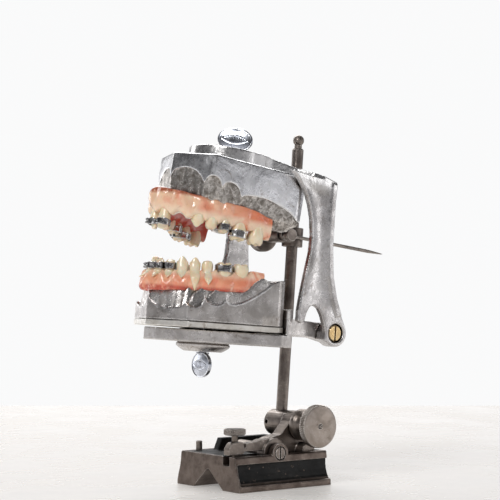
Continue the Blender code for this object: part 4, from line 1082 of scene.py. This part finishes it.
def true_round(point, x, y, step):
    """Move a point of a regular shape, with sides step degrees long, out to the circle round it."""
    across, ahead = point.x - x, point.y - y
    angle = math.atan2(ahead, across) % math.radians(step)
    half = math.radians(step / 2)
    grow = math.cos(angle - half) / math.cos(half)
    return Vector((x + across * grow, y + ahead * grow, point.z))


def shape_upper_frame(point):
    """Round the nose of the yoke and hollow the outer faces of the legs."""
    if point.z > 82.5 and point.y < NOSE[1] and math.hypot(point.x, point.y - NOSE[1]) > 15.0:
        return true_round(point, *NOSE, NOSE_STEP)
    if abs(point.x) > 37.9 and 12.0 < point.z < 82.0:
        front, rear = between(LEG_FRONT, point.z) + 0.8, between(LEG_REAR, point.z) - 3.2
        part = (point.y - front) / (rear - front)
        if 0.0 < part < 1.0:
            ends = smooth(point.z, 12.0, 26.0) * (1.0 - smooth(point.z, 74.0, 82.0))
            depth = 1.1 * math.sin(math.pi * part) ** 0.8 * ends
            return Vector((point.x - math.copysign(depth, point.x), point.y, point.z))
    return point


def shape_lower_frame(point):
    """Round the boss of the lower thumbscrew."""
    reach = math.hypot(point.x, point.y - SCREW_Y)
    if point.z < -5.2 and 8.0 < reach < 14.5:
        drop = min(1.0, (-5.2 - point.z) / 4.6)
        grow = 1.0 + 0.17 * math.sin(math.pi * drop ** 0.8) * smooth(reach, 8.0, 10.0)
        point = true_round(point, 0.0, SCREW_Y, BOSS_STEP)
        return Vector((point.x * grow, SCREW_Y + (point.y - SCREW_Y) * grow, point.z))
    return point


def make_frames():
    """Surfaces of the two jaw frames and the hinge screws."""
    rounded_copy("upper_frame", "upper_jaw", METALS["yoke"], 0.42, 4,
                 shape_upper_frame, UPPER)
    rounded_copy("lower_frame", "lower_jaw", METALS["frame"], 0.42, 3,
                 shape_lower_frame, JAW)
    repaint(METALS["brass"], "hinge_screw_near", "hinge_screw_far")


# ---------------------------------------------------------------- floor, light and camera

def make_floor():
    """A pale tabletop whose far edge ends in front of the white backdrop."""
    shade = Shader("pale_floor", Specular_IOR_Level=0.35, Emission_Strength=0.24,
                   Emission_Color=(1.0, 0.975, 0.945, 1.0))
    cloud = shade.noise(60.0, 5.0, 0.6)
    specks = shade.noise(9.0, 5.0, 0.65, distortion=0.6)
    colour = shade.mix(shade.ramp(cloud, 0.35, 0.7), (0.80, 0.775, 0.745), (0.76, 0.73, 0.695))
    colour = shade.mix(shade.ramp(specks, 0.62, 0.78, 0.0, 0.35), colour, (0.70, 0.66, 0.61))
    material = shade.finish(colour, shade.ramp(cloud, 0.3, 0.7, 0.18, 0.34))
    bm = bmesh.new()
    # to the camera's right, and away from the camera
    across, ahead = Vector((0.614, 0.789, 0.0)), Vector((-0.789, 0.614, 0.0))
    corners = [ahead * far + across * side
               for far, side in ((-1.6, -1.6), (-1.6, 1.6), (FLOOR_END, 1.6), (FLOOR_END, -1.6))]
    bm.faces.new([bm.verts.new(corner - Vector((0.0, 0.0, 0.0001))) for corner in corners])
    bm.normal_update()
    mesh = mesh_of("floor", bm)
    mesh.materials.append(material)
    floor = linked("floor", mesh)


def light(name, size, watts, place, aim):
    """A soft area light pointed at aim."""
    data = bpy.data.lights.new(name, "AREA")
    data.shape = "RECTANGLE"
    data.size, data.size_y = size
    data.energy = watts
    made = linked(name, data)
    made.location = place
    made.rotation_euler = (Vector(aim) - Vector(place)).to_track_quat("-Z", "Y").to_euler()


def make_world():
    """A white backdrop, and a dim studio with a bright horizon for everything else to reflect."""
    world = bpy.data.worlds.new("studio")
    bpy.context.scene.world = world
    sky = Nodes(world)
    backdrop = sky.nodes["Background"]
    sky.put(backdrop, "Color", (0.955, 0.957, 0.960))
    sky.put(backdrop, "Strength", 1.0)
    towards = sky.node("TexCoord", {}).outputs["Generated"]
    climb = sky.node("SeparateXYZ", {0: towards}).outputs[2]
    # straight down is 0, the horizon 0.5, straight up 1
    height = sky.node("Math", {0: climb, 1: 0.5, 2: 0.5}, operation="MULTIPLY_ADD").outputs[0]
    ramp = sky.node("ValToRGB", {0: height})
    stops = ramp.color_ramp.elements
    stops[0].position, stops[0].color = 0.42, (0.06, 0.06, 0.06, 1.0)
    stops[1].position, stops[1].color = 0.47, (0.20, 0.20, 0.21, 1.0)
    for place, grey in ((0.49, 0.85), (0.53, 1.15), (0.555, 0.45), (0.62, 0.10), (0.84, 0.07),
                        (1.0, 0.2)):
        stops.new(place).color = (grey, grey, grey * 1.03, 1.0)
    studio = sky.node("Background", {"Strength": 1.0, "Color": ramp.outputs[0]})
    seen = sky.node("LightPath", {}).outputs["Is Camera Ray"]
    mixer = sky.node("MixShader", {0: seen, 1: studio.outputs[0], 2: backdrop.outputs[0]})
    sky.put(sky.nodes["World Output"], "Surface", mixer.outputs[0])


def make_light():
    """Soft studio lights: a big one behind and above, a weak one each side, one in front."""
    make_world()
    for name, size, watts, place in (("back_top", (1.1, 0.7), 12.0, (-0.75, 0.45, 0.95)),
                                     ("left", (0.4, 0.8), 2.2, (-1.15, -0.25, 0.45)),
                                     ("right", (0.25, 0.9), 1.6, (0.95, 0.95, 0.45)),
                                     ("front", (0.6, 0.3), 8.0, (0.45, -1.0, 1.0))):
        light(name, size, watts, place, LIT_POINT)


def make_camera():
    """A long lens at the height of the jaws, a little to the near side of the front."""
    data = bpy.data.cameras.new("camera")
    data.lens = 130.7
    data.sensor_width = 36.0
    data.clip_end = 20.0
    camera = linked("camera", data)
    camera.location = CAMERA_PLACE
    camera.rotation_euler = CAMERA_TURN
    bpy.context.scene.camera = camera


make_casts()
make_gums()
make_teeth()
thumbscrew("upper_thumbscrew", "upper_screw", UPPER, 91.6, 98.9, 1, 40.0)
thumbscrew("lower_thumbscrew", "lower_screw", JAW, -9.8, -16.8, -1, -8.0)
make_knobs()
make_stand()
make_frames()
make_floor()
make_light()
make_camera()
bpy.context.scene.view_settings.view_transform = "Standard"
